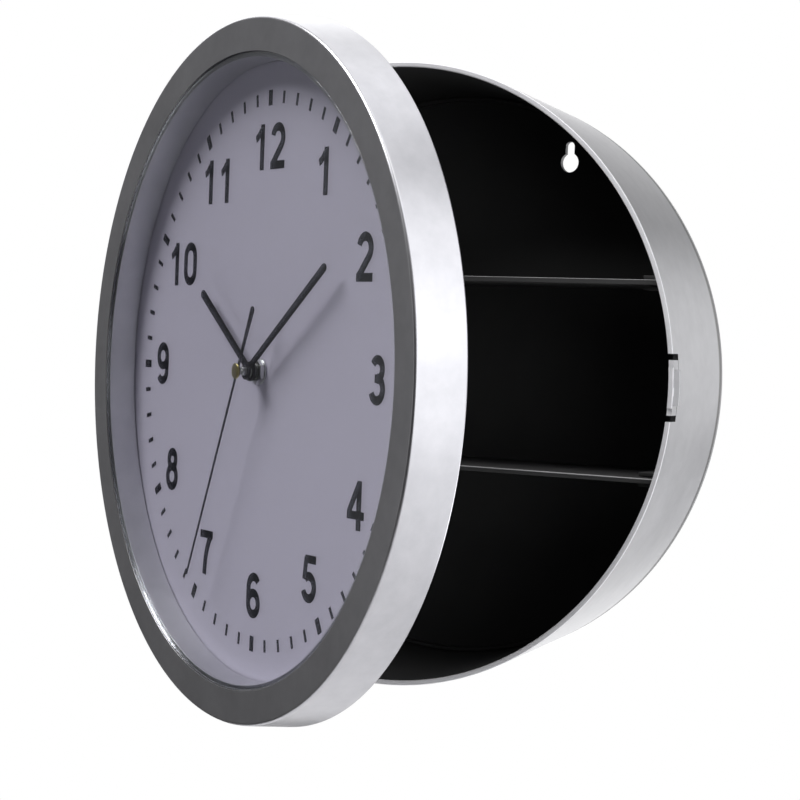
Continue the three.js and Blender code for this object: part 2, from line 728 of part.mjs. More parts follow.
// Leaf spring bowed from the end of the bay towards the flat end of the cell
function negativeContact() {
  const foot = -CELL_BAY_HALF_LENGTH + GAP;
  const crown = CELL_BAY_HALF_LENGTH - CONTACT_THICKNESS - 2 * GAP - CELL_LENGTH - GAP;
  const leaf = new THREE.Shape();
  const half = CONTACT_HEIGHT / 2;
  leaf.moveTo(foot, -half);
  leaf.quadraticCurveTo(2 * crown - foot - CONTACT_THICKNESS, 0, foot, half);
  leaf.lineTo(foot, half - CONTACT_THICKNESS);
  leaf.quadraticCurveTo(2 * crown - foot - 3 * CONTACT_THICKNESS, 0, foot, -half + CONTACT_THICKNESS);
  const geometry = new THREE.ExtrudeGeometry(leaf, {
    depth: CONTACT_WIDTH,
    bevelEnabled: false,
    curveSegments: 8,
  });
  geometry.translate(0, cellCentreY, -CELL_DROP - CONTACT_WIDTH / 2);
  return solidOf(geometry);
}

const washerFront = dialFront - GAP - WASHER_THICKNESS;
const nutFront = washerFront - GAP / 2 - NUT_THICKNESS;

function dialWasher() {
  const y = [washerFront, washerFront + WASHER_THICKNESS];
  return bar(WASHER_R, y).subtract(bar(BUSHING_R + SHAFT_GAP, [y[0] - OVERCUT, y[1] + OVERCUT]));
}

function dialNut() {
  const y = [nutFront, nutFront + NUT_THICKNESS];
  const cornerR = NUT_FLATS / Math.sqrt(3);
  return bar(cornerR, y, 0, 0, 6).subtract(bar(BUSHING_R + SHAFT_GAP, [y[0] - OVERCUT, y[1] + OVERCUT]));
}

// Tube or bar about the dial axis
function arbor(r, boreR, front) {
  const outer = bar(r, [front, arborRear], 0, 0, BOSS_FACETS);
  if (boreR === 0) return outer;
  return outer.subtract(bar(boreR, [front - OVERCUT, arborRear + OVERCUT], 0, 0, BOSS_FACETS));
}

// Flat baton that narrows from its hub to a round tip, pointing to 12
function baton(size) {
  const shape = new THREE.Shape();
  const tipR = size.tip / 2;
  shape.moveTo(-size.root / 2, 0);
  shape.lineTo(size.root / 2, 0);
  shape.lineTo(tipR, size.reach - tipR);
  shape.absarc(0, size.reach - tipR, tipR, 0, Math.PI);
  return plate(shape, [size.plane, size.plane + size.thickness]);
}

// Hand with a round hub that grips an arbor of radius r
function hand(size, r, extras = []) {
  const middle = size.plane + size.thickness / 2;
  const hubY = [middle - size.hubDepth / 2, middle + size.hubDepth / 2];
  const hub = bar(size.hub, hubY);
  const grip = bar(r + SHAFT_GAP, [hubY[0] - OVERCUT, hubY[1] + OVERCUT]);
  return joined([baton(size), hub, ...extras]).subtract(grip);
}

// Low dome pressed on the front end of the seconds arbor, in front of its hand
function secondCap(rear) {
  return turned(
    [
      [0, rear],
      [CAP_R, rear],
      [CAP_R, rear - CAP_DEPTH + CAP_DOME],
      [CAP_R - CAP_DOME, rear - CAP_DEPTH],
      [0, rear - CAP_DEPTH],
    ],
    BOSS_FACETS,
  );
}

// Broad tail of the seconds hand, opposite its pointer
function counterweight() {
  const shape = new THREE.Shape();
  const half = COUNTERWEIGHT.width / 2;
  shape.moveTo(SECOND_HAND.root / 2, 0);
  shape.lineTo(-SECOND_HAND.root / 2, 0);
  shape.lineTo(-half, -COUNTERWEIGHT.reach + half);
  shape.absarc(0, -COUNTERWEIGHT.reach + half, half, Math.PI, 2 * Math.PI);
  return plate(shape, [SECOND_HAND.plane, SECOND_HAND.plane + SECOND_HAND.thickness]);
}

const silverPaint = '#c4c7cb';
const bezelGrey = '#8d8f92';
const blackPlastic = '#151517';
const dialGrey = '#9698a3';
const handBlack = '#201f24';
const brass = '#b59a5a';
const steel = '#a9acb0';

const clockSafe = new THREE.Group();
clockSafe.add(part('case_wall', caseWall(), silverPaint, 0.38, 0.3));
clockSafe.add(part('case_back', caseBack(), blackPlastic, 0.6));
clockSafe.add(part('catch_tongue', catchTongue(), silverPaint, 0.38, 0.3));
clockSafe.add(part('upper_shelf', shelf(SHELF_HEIGHTS.upper), blackPlastic, 0.6));
clockSafe.add(part('lower_shelf', shelf(SHELF_HEIGHTS.lower), blackPlastic, 0.6));
clockSafe.add(part('hinge_pin', hingePin(), steel, 0.3, 0.9));

// The door turns about the hinge pin; inside it, y is the depth behind the door's front plane
const hinge = new THREE.Group();
hinge.position.set(HINGE_X, rimY, 0);
hinge.rotation.z = -THREE.MathUtils.degToRad(OPEN_ANGLE);
clockSafe.add(hinge);
const door = new THREE.Group();
door.position.set(-HINGE_X, doorFrontY - rimY, 0);
hinge.add(door);
door.add(part('bezel_frame', bezelFrame(), bezelGrey, 0.4, 0.3));
door.add(part('lens', lens(), '#eef2f4', 0.05));
door.add(part('dial_plate', dialPlate(), dialGrey, 0.6));
door.add(part('door_back_plate', doorBackPlate(), blackPlastic, 0.6));
door.add(part('gasket', gasket(), '#1b1b1b', 0.9));
door.add(part('movement_housing', movementHousing(), '#1d1d1f', 0.5));
door.add(part('movement_cover', movementCover(), '#1d1d1f', 0.5));
door.add(part('battery_cell', cell(), '#8f9296', 0.4, 0.4));
door.add(part('contact_positive', positiveContact(), steel, 0.3, 0.9));
door.add(part('contact_negative', negativeContact(), steel, 0.3, 0.9));
door.add(part('dial_washer', dialWasher(), steel, 0.35, 0.9));
door.add(part('dial_nut', dialNut(), steel, 0.35, 0.9));

const knobMesh = part('setting_knob', settingKnob(), '#2a2a2c', 0.6);
knobMesh.position.z = KNOB_OFFSET;
door.add(knobMesh);

const hourGroup = new THREE.Group();
hourGroup.rotation.y = THREE.MathUtils.degToRad(HOUR_ANGLE);
const hourFront = HOUR_HAND.plane - HOUR_HAND.thickness;
hourGroup.add(part('hour_pipe', arbor(PIPE_R, MINUTE_ARBOR_R + SHAFT_GAP, hourFront), steel, 0.35, 0.9));
hourGroup.add(part('hour_hand', hand(HOUR_HAND, PIPE_R), handBlack, 0.5, 0.2));
door.add(hourGroup);

const minuteGroup = new THREE.Group();
minuteGroup.rotation.y = THREE.MathUtils.degToRad(MINUTE_ANGLE);
const minuteFront = MINUTE_HAND.plane - MINUTE_ARBOR_REACH;
minuteGroup.add(
  part('minute_arbor', arbor(MINUTE_ARBOR_R, SECOND_ARBOR_R + SHAFT_GAP, minuteFront), steel, 0.35, 0.9),
);
minuteGroup.add(part('minute_hand', hand(MINUTE_HAND, MINUTE_ARBOR_R), handBlack, 0.5, 0.2));
door.add(minuteGroup);

const secondGroup = new THREE.Group();
secondGroup.rotation.y = THREE.MathUtils.degToRad(SECOND_ANGLE);
const capRear = SECOND_HAND.plane - (SECOND_HAND.hubDepth - SECOND_HAND.thickness) / 2 - SHAFT_GAP;
secondGroup.add(part('second_arbor', arbor(SECOND_ARBOR_R, 0, capRear + SHAFT_GAP), steel, 0.3, 0.9));
secondGroup.add(
  part('second_hand', hand(SECOND_HAND, SECOND_ARBOR_R, [counterweight()]), handBlack, 0.5, 0.2),
);
secondGroup.add(part('second_cap', secondCap(capRear), brass, 0.3, 0.9));
door.add(secondGroup);

export default clockSafe;
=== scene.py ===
# %% [markdown]
# # A wall clock that is a safe
# The clock's face is a door. Behind it is a round hollow case with two shelves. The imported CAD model
# gives every piece its size and place, so this lesson only has to give each piece its fine shape and
# its finish. It starts by loading that model, and it keeps the size of the box that the model fills.

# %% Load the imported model
import math

import bpy
import bmesh
from mathutils import Euler, Matrix, Vector


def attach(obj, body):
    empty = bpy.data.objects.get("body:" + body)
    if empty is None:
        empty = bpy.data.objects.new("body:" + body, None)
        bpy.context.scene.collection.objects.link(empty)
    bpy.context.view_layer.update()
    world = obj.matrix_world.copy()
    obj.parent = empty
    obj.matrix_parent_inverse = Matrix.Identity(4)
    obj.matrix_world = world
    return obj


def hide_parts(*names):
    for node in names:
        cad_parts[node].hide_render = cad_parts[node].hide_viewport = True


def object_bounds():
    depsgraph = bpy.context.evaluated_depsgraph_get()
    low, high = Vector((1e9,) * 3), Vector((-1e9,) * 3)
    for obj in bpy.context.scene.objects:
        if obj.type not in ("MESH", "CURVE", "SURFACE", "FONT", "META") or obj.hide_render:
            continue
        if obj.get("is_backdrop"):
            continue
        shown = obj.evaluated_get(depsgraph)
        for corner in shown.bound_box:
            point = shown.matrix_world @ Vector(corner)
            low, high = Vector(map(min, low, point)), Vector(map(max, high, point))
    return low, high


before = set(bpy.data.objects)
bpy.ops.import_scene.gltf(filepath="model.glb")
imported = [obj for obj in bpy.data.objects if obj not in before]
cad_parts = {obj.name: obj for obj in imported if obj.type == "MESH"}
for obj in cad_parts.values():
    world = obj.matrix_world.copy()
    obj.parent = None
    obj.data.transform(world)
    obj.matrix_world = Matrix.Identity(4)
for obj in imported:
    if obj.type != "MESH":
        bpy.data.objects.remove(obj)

cad_box = [list(corner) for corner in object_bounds()]
print("box in metres:", cad_box)
scene = bpy.context.scene

# %% [markdown]
# ## Two frames of measure
# The drawings of a clock are in millimetres, and the door is drawn shut, seen straight from the front:
# x to the right, depth behind the door's front plane, z up. The door then stands open on its hinge. It
# is easier to model each piece of the door straight and to turn it once, at the end, than to think in
# slanted numbers. The matrix DOOR is that turn, and CASE, the other one, leaves a piece where it is.
# moved() and rotated() are the small shifts and turns within a drawing.

# %% The case's frame and the door's frame
MM = 0.001
OPENING = math.radians(28.5)
HINGE = Vector((-0.124, -0.059, 0.0))
SHUT = Vector((0.124, -0.013, 0.0))
CASE = Matrix.Identity(4)
DOOR = Matrix.Translation(HINGE) @ Matrix.Rotation(-OPENING, 4, "Z") @ Matrix.Translation(SHUT)
print("dial centre:", [round(v, 4) for v in DOOR @ Vector((0, 0.0119, 0))])


def moved(x, y, z):
    return Matrix.Translation(Vector((x, y, z)) * MM)


def rotated(degrees, axis="Y"):
    return Matrix.Rotation(math.radians(degrees), 4, axis)


def on_circle(radius, degrees):
    angle = math.radians(degrees)
    return (radius * math.sin(angle), radius * math.cos(angle))


# %% [markdown]
# ## The camera
# The photograph was taken from the right of the open door. The camera's place and turn were worked out
# from the ellipses of the door and the case. A long lens, 94 mm, keeps the ellipses nearly true.

# %% Camera
view = bpy.data.cameras.new("photo_view")
view.lens = 93.76
view.sensor_width = 36.0
view.clip_start = 0.05
camera = bpy.data.objects.new("photo_view", view)
camera.location = (0.4057, -0.7375, 0.0144)
camera.rotation_euler = Euler([math.radians(a) for a in (88.26, -2.159, 30.489)], "XYZ")
scene.collection.objects.link(camera)
scene.camera = camera
print("camera:", camera.location[:], view.lens, "mm")

# %% [markdown]
# ## Hands on the tools
# Every operator works on what is selected, and the loaded pieces come in selected. So the first habit
# is to let go of everything before picking the one piece that is meant. settle() writes a piece's turn
# into its mesh, so that the finished object sits at the origin, unturned. changed() applies a modifier.

# %% Select, settle, combine
def let_go():
    if bpy.context.mode != "OBJECT":
        bpy.ops.object.mode_set(mode="OBJECT")
    bpy.ops.object.select_all(action="DESELECT")


def pick(piece, *others):
    let_go()
    for other in others:
        other.select_set(True)
    piece.select_set(True)
    bpy.context.view_layer.objects.active = piece


def settle(piece, turn=CASE):
    pick(piece)
    piece.matrix_world = turn @ piece.matrix_world
    bpy.ops.object.transform_apply(location=True, rotation=True, scale=True)
    return piece


def named(name):
    piece = bpy.context.object
    piece.name = piece.data.name = name
    return piece


def discard(*pieces):
    pick(*pieces)
    bpy.ops.object.delete()


def changed(piece, kind, **settings):
    pick(piece)
    change = piece.modifiers.new(kind, kind)
    for key, value in settings.items():
        setattr(change, key, value)
    bpy.ops.object.modifier_apply(modifier=change.name)
    return piece


def combine(piece, tool, operation="DIFFERENCE"):
    changed(piece, "BOOLEAN", object=tool, operation=operation, solver="EXACT")
    discard(tool)
    pick(piece)


def unite(piece, tool):
    combine(piece, tool, "UNION")


def joined(name, pieces):
    pick(pieces[0], *pieces[1:])
    if len(pieces) > 1:
        bpy.ops.object.join()
    return named(name)


def copied(piece, turn):
    twin = piece.copy()
    twin.data = piece.data.copy()
    scene.collection.objects.link(twin)
    return settle(twin, turn)


# %% [markdown]
# ## Turning on a lathe
# Most of a clock is round: bezel, case, lens, dial, nut, cap. On a lathe the maker draws half of the
# section and spins it. Here a plane is merged to one point, the point is pushed along the section edge
# by edge, and the spin operator sweeps it round the dial's axis. An outline that starts on the axis
# stays open. A corner that the mould leaves round gets its radius as a third number.

# %% Outline with rounded corners, and the lathe
def rounded(outline, closed=True, steps=5):
    points = []
    count = len(outline)
    for i, corner in enumerate(outline):
        here = Vector(corner[:2])
        radius = corner[2] if len(corner) > 2 else 0
        if radius == 0 or (not closed and i in (0, count - 1)):
            points.append(here)
            continue
        to_last = (Vector(outline[i - 1][:2]) - here).normalized()
        to_next = (Vector(outline[(i + 1) % count][:2]) - here).normalized()
        half = to_last.angle(to_next) / 2
        middle = here + (to_last + to_next).normalized() * (radius / math.sin(half))
        start = here + to_last * (radius / math.tan(half)) - middle
        end = here + to_next * (radius / math.tan(half)) - middle
        swing = start.angle_signed(end)
        for k in range(steps + 1):
            angle = -swing * k / steps
            cos, sin = math.cos(angle), math.sin(angle)
            points.append(middle + Vector((start.x * cos - start.y * sin, start.x * sin + start.y * cos)))
    return points


def everything():
    bpy.ops.mesh.select_all(action="SELECT")


def point_at(x, y, z=0.0):
    bpy.ops.mesh.primitive_plane_add(size=MM)
    bpy.ops.object.mode_set(mode="EDIT")
    bpy.ops.mesh.select_mode(type="VERT")
    everything()
    bpy.ops.mesh.merge(type="CENTER")
    bpy.ops.transform.translate(value=(x * MM, y * MM, z * MM))


def pushed(x, y, z=0.0):
    bpy.ops.mesh.extrude_region_move(TRANSFORM_OT_translate={"value": (x * MM, y * MM, z * MM)})


def merged(distance):
    everything()
    bpy.ops.mesh.remove_doubles(threshold=distance)
    everything()


def closed_up(name):
    everything()
    bpy.ops.mesh.normals_make_consistent(inside=False)
    bpy.ops.object.mode_set(mode="OBJECT")
    return named(name)


def turned(name, outline, facets=192, steps=5):
    let_go()
    closed = outline[0][0] > 0
    points = rounded(outline, closed, steps)
    if closed:
        points.append(points[0])
    point_at(*points[0])
    for last, here in zip(points, points[1:]):
        pushed(*(here - last))
    merged(1e-7)
    bpy.ops.mesh.spin(steps=facets, angle=2 * math.pi, center=(0, 0, 0), axis=(0, 1, 0))
    merged(2e-6)
    return closed_up(name)


# %% [markdown]
# ## Blocks, rods and smooth light
# Square pieces start as a cube and straight pins as a cylinder, both at their size and place.

# %% Block, rod, bevel and shading
def span(side, near, far):
    return sorted((side * near, side * far))


def block(name, x, y, z):
    let_go()
    middle = [(low + high) / 2 * MM for low, high in (x, y, z)]
    size = [(high - low) * MM for low, high in (x, y, z)]
    bpy.ops.mesh.primitive_cube_add(size=1, location=middle, scale=size)
    return settle(named(name))


def rod(name, radius, y, x=0.0, z=0.0, facets=48, tip=None):
    let_go()
    bpy.ops.mesh.primitive_cone_add(
        vertices=facets,
        radius1=(radius if tip is None else tip) * MM,
        radius2=radius * MM,
        depth=(y[1] - y[0]) * MM,
        location=(x * MM, (y[0] + y[1]) / 2 * MM, z * MM),
        rotation=(math.radians(-90), 0, 0),
    )
    return settle(named(name))


def upright(name, radius, z, x, y, facets=48):
    let_go()
    bpy.ops.mesh.primitive_cylinder_add(
        vertices=facets,
        radius=radius * MM,
        depth=(z[1] - z[0]) * MM,
        location=(x * MM, y * MM, (z[0] + z[1]) / 2 * MM),
    )
    return settle(named(name))


def soften(piece, width, segments=2, angle=40.0):
    limit = {"limit_method": "ANGLE", "angle_limit": math.radians(angle), "use_clamp_overlap": True}
    return changed(piece, "BEVEL", width=width * MM, segments=segments, **limit)


def finish(piece, turn, body, slot, *replaced, angle=35.0):
    settle(piece, turn)
    bpy.ops.object.shade_smooth_by_angle(angle=math.radians(angle))
    changed(piece, "WEIGHTED_NORMAL", keep_sharp=True)
    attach(piece, body)
    if replaced:
        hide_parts(*replaced)
    print(piece.name, "on", body, "-", len(piece.data.polygons), "faces")


# %% [markdown]
# ## The bezel
# The door's ring is one moulding: a flat face round the glass, a skirt that flares back over the case,
# and an inner wall that goes down to the dial. The section is a deep U that is open to the back. The
# lens lies in a small step at the inner edge. One outline and one spin give all of it, and the corner
# radii are what catches the bright thin lines along the edges.

# %% Bezel ring
bezel = turned("bezel", [
    (112.7, 0.0, 0.3),
    (125.0, 0.0, 1.1),
    (126.5, 18.5, 0.55),
    (124.7, 18.5, 0.35),
    (123.38, 2.2, 0.8),
    (113.2, 2.2, 0.8),
    (112.7, 11.6, 0.25),
    (110.5, 11.6, 0.3),
    (111.0, 1.1, 0.15),
    (112.7, 1.1),
], facets=256)
combine(bezel, block("notch", (-140, -115), (9.5, 30), (-44, 44)))
print("ring:", len(bezel.data.polygons), "faces")

# %% [markdown]
# Behind the face stand the things that the mould adds: six screw bosses, each with a rib to the skirt,
# two hinge arms that end in knuckles, and the hooked strike of the catch. A boss is modelled once, with
# its screw's pilot hole, and copied round the ring. The pin's hole is cut last, through everything.

# %% Bosses, hinge arms and strike of the bezel
SCREW_R = 117
boss = rod("boss", 3.1, (1.1, 10.6), 0, SCREW_R)
unite(boss, block("rib", (-0.7, 0.7), (1.1, 9.2), (SCREW_R, 124.2)))
combine(boss, rod("pilot", 1.1, (3.6, 11.6), 0, SCREW_R, 24))
bosses = [copied(boss, rotated(60 * i)) for i in range(1, 6)]
unite(bezel, joined("bosses", [boss] + bosses))

for side in (-1, 1):
    middle = side * 12.3
    arm = block("arm", (-126.1, -121.9), (1.1, 13.0), (middle - 7, middle + 7))
    trim = turned("trim", [(90, 1.0), (124.97, 1.0), (125.95, 13.5), (90, 13.5)], facets=256)
    combine(arm, trim, "INTERSECT")
    unite(arm, upright("knuckle", 2.6, (middle - 7, middle + 7), -124, 13))
    unite(bezel, arm)
combine(bezel, upright("pin_bore", 1.35, (-30, 30), -124, 13))

lug = turned("lug", [(119.8, 17.0), (125, 17.0), (125, 18.4), (120.55, 18.4)], facets=256)
combine(lug, block("lug_width", (60, 130), (10, 20), (-7, 7)), "INTERSECT")
unite(bezel, lug)
for side in (-1, 1):
    rib = turned("rib", [(120.1, 1.1), (124.1, 1.1), (125, 17.6), (120.1, 17.6)], facets=256)
    combine(rib, block("rib_width", (60, 130), (0, 20), span(side, 5.2, 7.0)), "INTERSECT")
    unite(bezel, rib)


# %% [markdown]
# ## Face of paint, back of plastic
# The ring is moulded in dark plastic and sprayed with silver from the front, so its hidden side stays
# dark. The well wall gets a lighter copy of the lacquer, a painted light, and the small step round the
# glass a dark copy, a painted shade. A piece can carry several materials, so each face gets the number
# of its finish by its place and normal: 0 for the silver front and skirt, 1 for the bare back, 2 for the
# well's painted light, 3 for the painted shade on the step round the glass.

# %% Several finishes on one piece
def share_out(piece, count, finish_of):
    piece.data.materials.clear()
    for _ in range(count):
        piece.data.materials.append(None)
    faces = [0] * count
    for face in piece.data.polygons:
        middle = face.center / MM
        radius = math.hypot(middle.x, middle.z)
        outward = (face.normal.x * middle.x + face.normal.z * middle.z) / max(radius, 1e-6)
        face.material_index = finish_of(middle, radius, outward, face.normal.y)
        faces[face.material_index] += 1
    print(piece.name, "- faces in each finish:", faces)


def bezel_finish(middle, radius, outward, rearward):
    # Painted shade: the small step round the glass gets a dark copy of the lacquer.
    if 112.2 < radius < 113.1 and middle.y < 1.15 and outward < -0.2:
        return 3
    # Painted light: the well wall gets a lighter copy of the lacquer.
    if radius < 112.1 and outward < -0.5:
        return 2
    if middle.y < 2.1 or (radius > 124.6 and outward > 0.5):
        return 0
    return 1


share_out(bezel, 4, bezel_finish)
finish(bezel, DOOR, "door", "bezel_paint", "bezel_frame")

# %% [markdown]
# ## The glass
# The lens is a flat pane with a ground edge. The slope round the edge is what shows as two thin bright
# lines in the photograph. The outline starts and ends on the axis, so the spin closes it by itself.

# %% Front glass
glass = turned("front_glass", [
    (0, 0.05),
    (111.2, 0.05, 0.1),
    (112.4, 0.425, 0.1),
    (112.4, 0.8, 0.1),
    (0, 0.8),
])
finish(glass, DOOR, "door", "clear_lens", "lens", angle=20)

# %% [markdown]
# ## The dial
# A card disc with a hole for the bushing. It is a ring, so the outline is closed and never touches the
# axis. Its front edge is hidden under the bezel, but the hole's edge shows round the washer.

# %% Dial disc
DIAL_FRONT = 11.9
dial = turned("dial", [
    (3.4, DIAL_FRONT, 0.08),
    (112.2, DIAL_FRONT, 0.1),
    (112.2, 12.5, 0.1),
    (3.4, 12.5, 0.08),
], steps=3)
finish(dial, DOOR, "door", "dial_card", "dial_plate")

# %% [markdown]
# ## Numbers from strokes of a flat brush
# The hours are printed in a plain, even, upright letter. Each digit can be written the way a sign
# painter would: a flat brush of one width follows a few lines and arcs. The brush is a short edge. A
# line is an extrude of that edge and an arc is a spin of it. Each stroke gets the thickness of a coat
# of ink, and the strokes of a digit are joined to one body.

# %% A stroke of the brush
INK = 0.06
STROKE = 3.1


def to_ribbon(start, heading, moves, width=STROKE):
    let_go()
    x, z = start
    angle = math.radians(heading)
    across = Vector((-math.sin(angle), math.cos(angle))) * width
    point_at(x - across.x / 2, 0, z - across.y / 2)
    pushed(across.x, 0, across.y)
    everything()
    for move in moves:
        if len(move) == 1:
            step = Vector((math.cos(angle), math.sin(angle))) * move[0]
            pushed(step.x, 0, step.y)
            x, z = x + step.x, z + step.y
            continue
        radius, degrees = move
        bend = math.radians(degrees)
        side = math.copysign(1.0, bend)
        middle = (x - side * radius * math.sin(angle), z + side * radius * math.cos(angle))
        bpy.ops.mesh.spin(
            steps=max(4, round(abs(degrees) / 9)),
            angle=bend,
            center=(middle[0] * MM, 0, middle[1] * MM),
            axis=(0, 1, 0),
        )
        angle += bend
        x = middle[0] + side * radius * math.sin(angle)
        z = middle[1] - side * radius * math.cos(angle)
    merged(1e-6)
    pushed(0, -INK, 0)
    return closed_up("stroke")


def round_start(middle, radius, polar, turn, *more):
    at = math.radians(polar)
    start = (middle[0] + radius * math.cos(at), middle[1] + radius * math.sin(at))
    return start, polar + math.copysign(90, turn), [(radius, turn), *more]


# %% [markdown]
# The ten digits stand in a box that is 11.2 mm wide and 16.5 mm high. A pair in round brackets after a
# start and a heading is an arc, its radius and its turn in degrees, left positive. A single number is a
# straight run. The nine is the six upside down, so it is copied and turned round.

# %% Strokes of each digit
DIGITS = {
    "0": [((1.55, 5.6), 90, [(5.3,), (4.05, -180), (5.3,), (4.05, -180)])],
    "1": [((7.2, 0), 90, [(16.5,)]), ((2.2, 11.3), 20, [(7.5, 40)], 2.6)],
    "2": [round_start((5.6, 11.05), 3.9, 165, -210, (9.18,)), ((0.3, 1.45), 0, [(10.7,)], 2.9)],
    "3": [
        round_start((5.4, 11.75), 3.2, 150, -240),
        round_start((5.5, 5.25), 3.7, 90, -250),
        ((3.9, 8.75), 0, [(1.8,)], 2.8),
    ],
    "4": [
        ((7.65, 0), 90, [(16.5,)]),
        ((0, 5.0), 0, [(11.2,)], 2.8),
        ((1.0, 5.6), math.degrees(math.atan2(9.8, 6.3)), [(11.65,)], 2.7),
    ],
    "5": [
        ((2.6, 15.05), 0, [(7.6,)], 2.9),
        ((3.3, 15.6), math.degrees(math.atan2(-7.7, -1.0)), [(7.76,)], 2.7),
        round_start((5.5, 5.4), 3.85, 135, -295),
    ],
    "6": [
        round_start((5.65, 5.35), 3.8, 90, -360),
        ((1.85, 5.35), 90, [(5.65,), (3.95, -145)]),
    ],
    "7": [
        ((0.5, 15.05), 0, [(10.4,)], 2.9),
        ((9.3, 14.7), -128, [(20, 33), (4.2,)]),
    ],
    "8": [round_start((5.6, 12.0), 2.95, 90, -360), round_start((5.6, 5.35), 3.8, 90, -360)],
}


def written(digit):
    strokes = [to_ribbon(*stroke) for stroke in DIGITS[digit]]
    whole = strokes[0]
    for stroke in strokes[1:]:
        unite(whole, stroke)
    return whole


digits = {digit: written(digit) for digit in DIGITS}
digits["9"] = copied(digits["6"], moved(11.2, 0, 16.5) @ rotated(180))
for digit, shape in sorted(digits.items()):
    size = [round(shape.dimensions[k] / MM, 1) for k in (0, 2)]
    print(digit, "is", size, "mm,", len(shape.data.polygons), "faces")

# %% [markdown]
# The twelve numbers stand upright on a ring that is a little wider than high. A number of two digits
# is set as one word, centred on its place. A few numbers stand off the ring by a millimetre or two, as
# the printer set them by eye, and NUDGE holds that. Every copy keeps its own mesh, and all of them are
# joined, since a print is one layer.

# %% The twelve numbers on the dial
NUMBER_RX = 82.4
NUMBER_RZ = 80.5
ADVANCE = 13.6
NUDGE = {4: (0, -1.5), 7: (1.3, 0.5), 8: (-1, 0), 9: (-1.8, 0.5), 10: (2.4, -1)}
numbers = []
for hour in range(1, 13):
    angle = math.radians(30 * hour)
    word = str(hour)
    right, up = NUDGE.get(hour, (0, 0))
    for place, digit in enumerate(word):
        left = NUMBER_RX * math.sin(angle) + right - 5.6 + ADVANCE * (place - (len(word) - 1) / 2)
        low = NUMBER_RZ * math.cos(angle) + up - 8.25
        numbers.append(copied(digits[digit], moved(left, DIAL_FRONT, low)))
discard(*digits.values())
finish(joined("dial_numerals", numbers), DOOR, "door", "hand_black")

# %% [markdown]
# ## Sixty marks
# The minutes are short bars on a circle, and every fifth one is broader. One bar of each kind is made,
# with its corners just broken, and copied round the dial.

# %% Minute marks
MARK_R = 97.9


def mark(long, wide):
    height = (MARK_R - long / 2, MARK_R + long / 2)
    return soften(block("mark", (-wide / 2, wide / 2), (DIAL_FRONT - INK, DIAL_FRONT), height), 0.02, 1)


fifth = mark(5.6, 3.0)
single = mark(4.4, 1.6)
marks = [copied(single if minute % 5 else fifth, rotated(6 * minute)) for minute in range(60)]
discard(fifth, single)
finish(joined("minute_marks", marks), DOOR, "door", "hand_black")

# %% [markdown]
# ## Flat shapes
# Hands, the movement's box and the knob are outlines with a thickness. The point is pushed round the
# outline, the loop is filled with one face, and that face is extruded back.

# %% A sheet cut to an outline
def cut_sheet(name, outline, depths, steps=6):
    let_go()
    points = rounded(outline, True, steps)
    point_at(points[0].x, depths[0], points[0].y)
    for last, here in zip(points, points[1:]):
        pushed(here.x - last.x, 0, here.y - last.y)
    everything()
    bpy.ops.mesh.edge_face_add()
    everything()
    pushed(0, depths[1] - depths[0], 0)
    return closed_up(name)


def rectangle(x, z, corner=0.0):
    return [(x[0], z[0], corner), (x[1], z[0], corner), (x[1], z[1], corner), (x[0], z[1], corner)]


# %% [markdown]
# ## The door's back plate
# A plate closes the back of the door. Its rim lies on the bosses, and its middle is stepped so that it
# drops into the mouth of the case. A square frame holds the movement. Six countersunk screws with a
# cross recess hold the plate. One is made and the others are copies.

# %% Back plate of the door
plate = turned("back_plate", [
    (3.7, 12.8),
    (113.5, 12.8),
    (113.5, 10.9),
    (119.5, 10.9, 0.2),
    (119.5, 12.6, 0.3),
    (115.0, 12.6, 0.3),
    (115.0, 14.4, 0.5),
    (3.7, 14.4, 0.3),
], steps=3)
outer = cut_sheet("frame", rectangle((-29.8, 29.8), (-29.8, 29.8), 4.5), (13.6, 16.4))
combine(outer, cut_sheet("frame_inside", rectangle((-28.3, 28.3), (-28.3, 28.3), 3.0), (13.0, 17.4)))
soften(outer, 0.3, 2)
unite(plate, outer)
for i in range(6):
    spot = rotated(60 * i)
    combine(plate, settle(rod("bore", 1.6, (9.9, 13.6), 0, SCREW_R, 32), spot))
    combine(plate, settle(rod("sink", 2.45, (11.75, 12.62), 0, SCREW_R, 32, tip=1.6), spot))
for r in (46.0, 92.0):
    section = [(r - 0.6, 13.9), (r + 0.6, 13.9), (r + 0.6, 14.9, 0.3), (r - 0.6, 14.9, 0.3)]
    unite(plate, turned("rib", section, steps=2))
finish(plate, DOOR, "door", "black_plastic", "door_back_plate")

# %% Screws of the back plate
screw = turned("screw", [
    (0, 4.2),
    (0.75, 4.6),
    (1.0, 5.4),
    (1.0, 11.6),
    (2.25, 12.45, 0.1),
    (2.25, 12.6, 0.06),
    (0, 12.52),
], facets=40, steps=2)
for turn in (20, 110):
    blade = block("blade", (-1.3, 1.3), (11.9, 13), (-0.24, 0.24))
    combine(screw, settle(blade, rotated(turn)))
settle(screw, moved(0, 0, SCREW_R))
for i in range(6):
    twin = copied(screw, rotated(60 * i))
    twin.name = twin.data.name = f"plate_screw_{i + 1}"
    finish(twin, DOOR, "door", "steel")
discard(screw)

# %% [markdown]
# ## The quartz movement
# A square box of dark plastic. From the front only its threaded bushing shows, clamped through the dial
# with a washer and a six-sided nut. From behind it has an open bay for one cell, a lid over the works
# and a well for the setting knob. The box is one solid with its rooms cut out by combine().

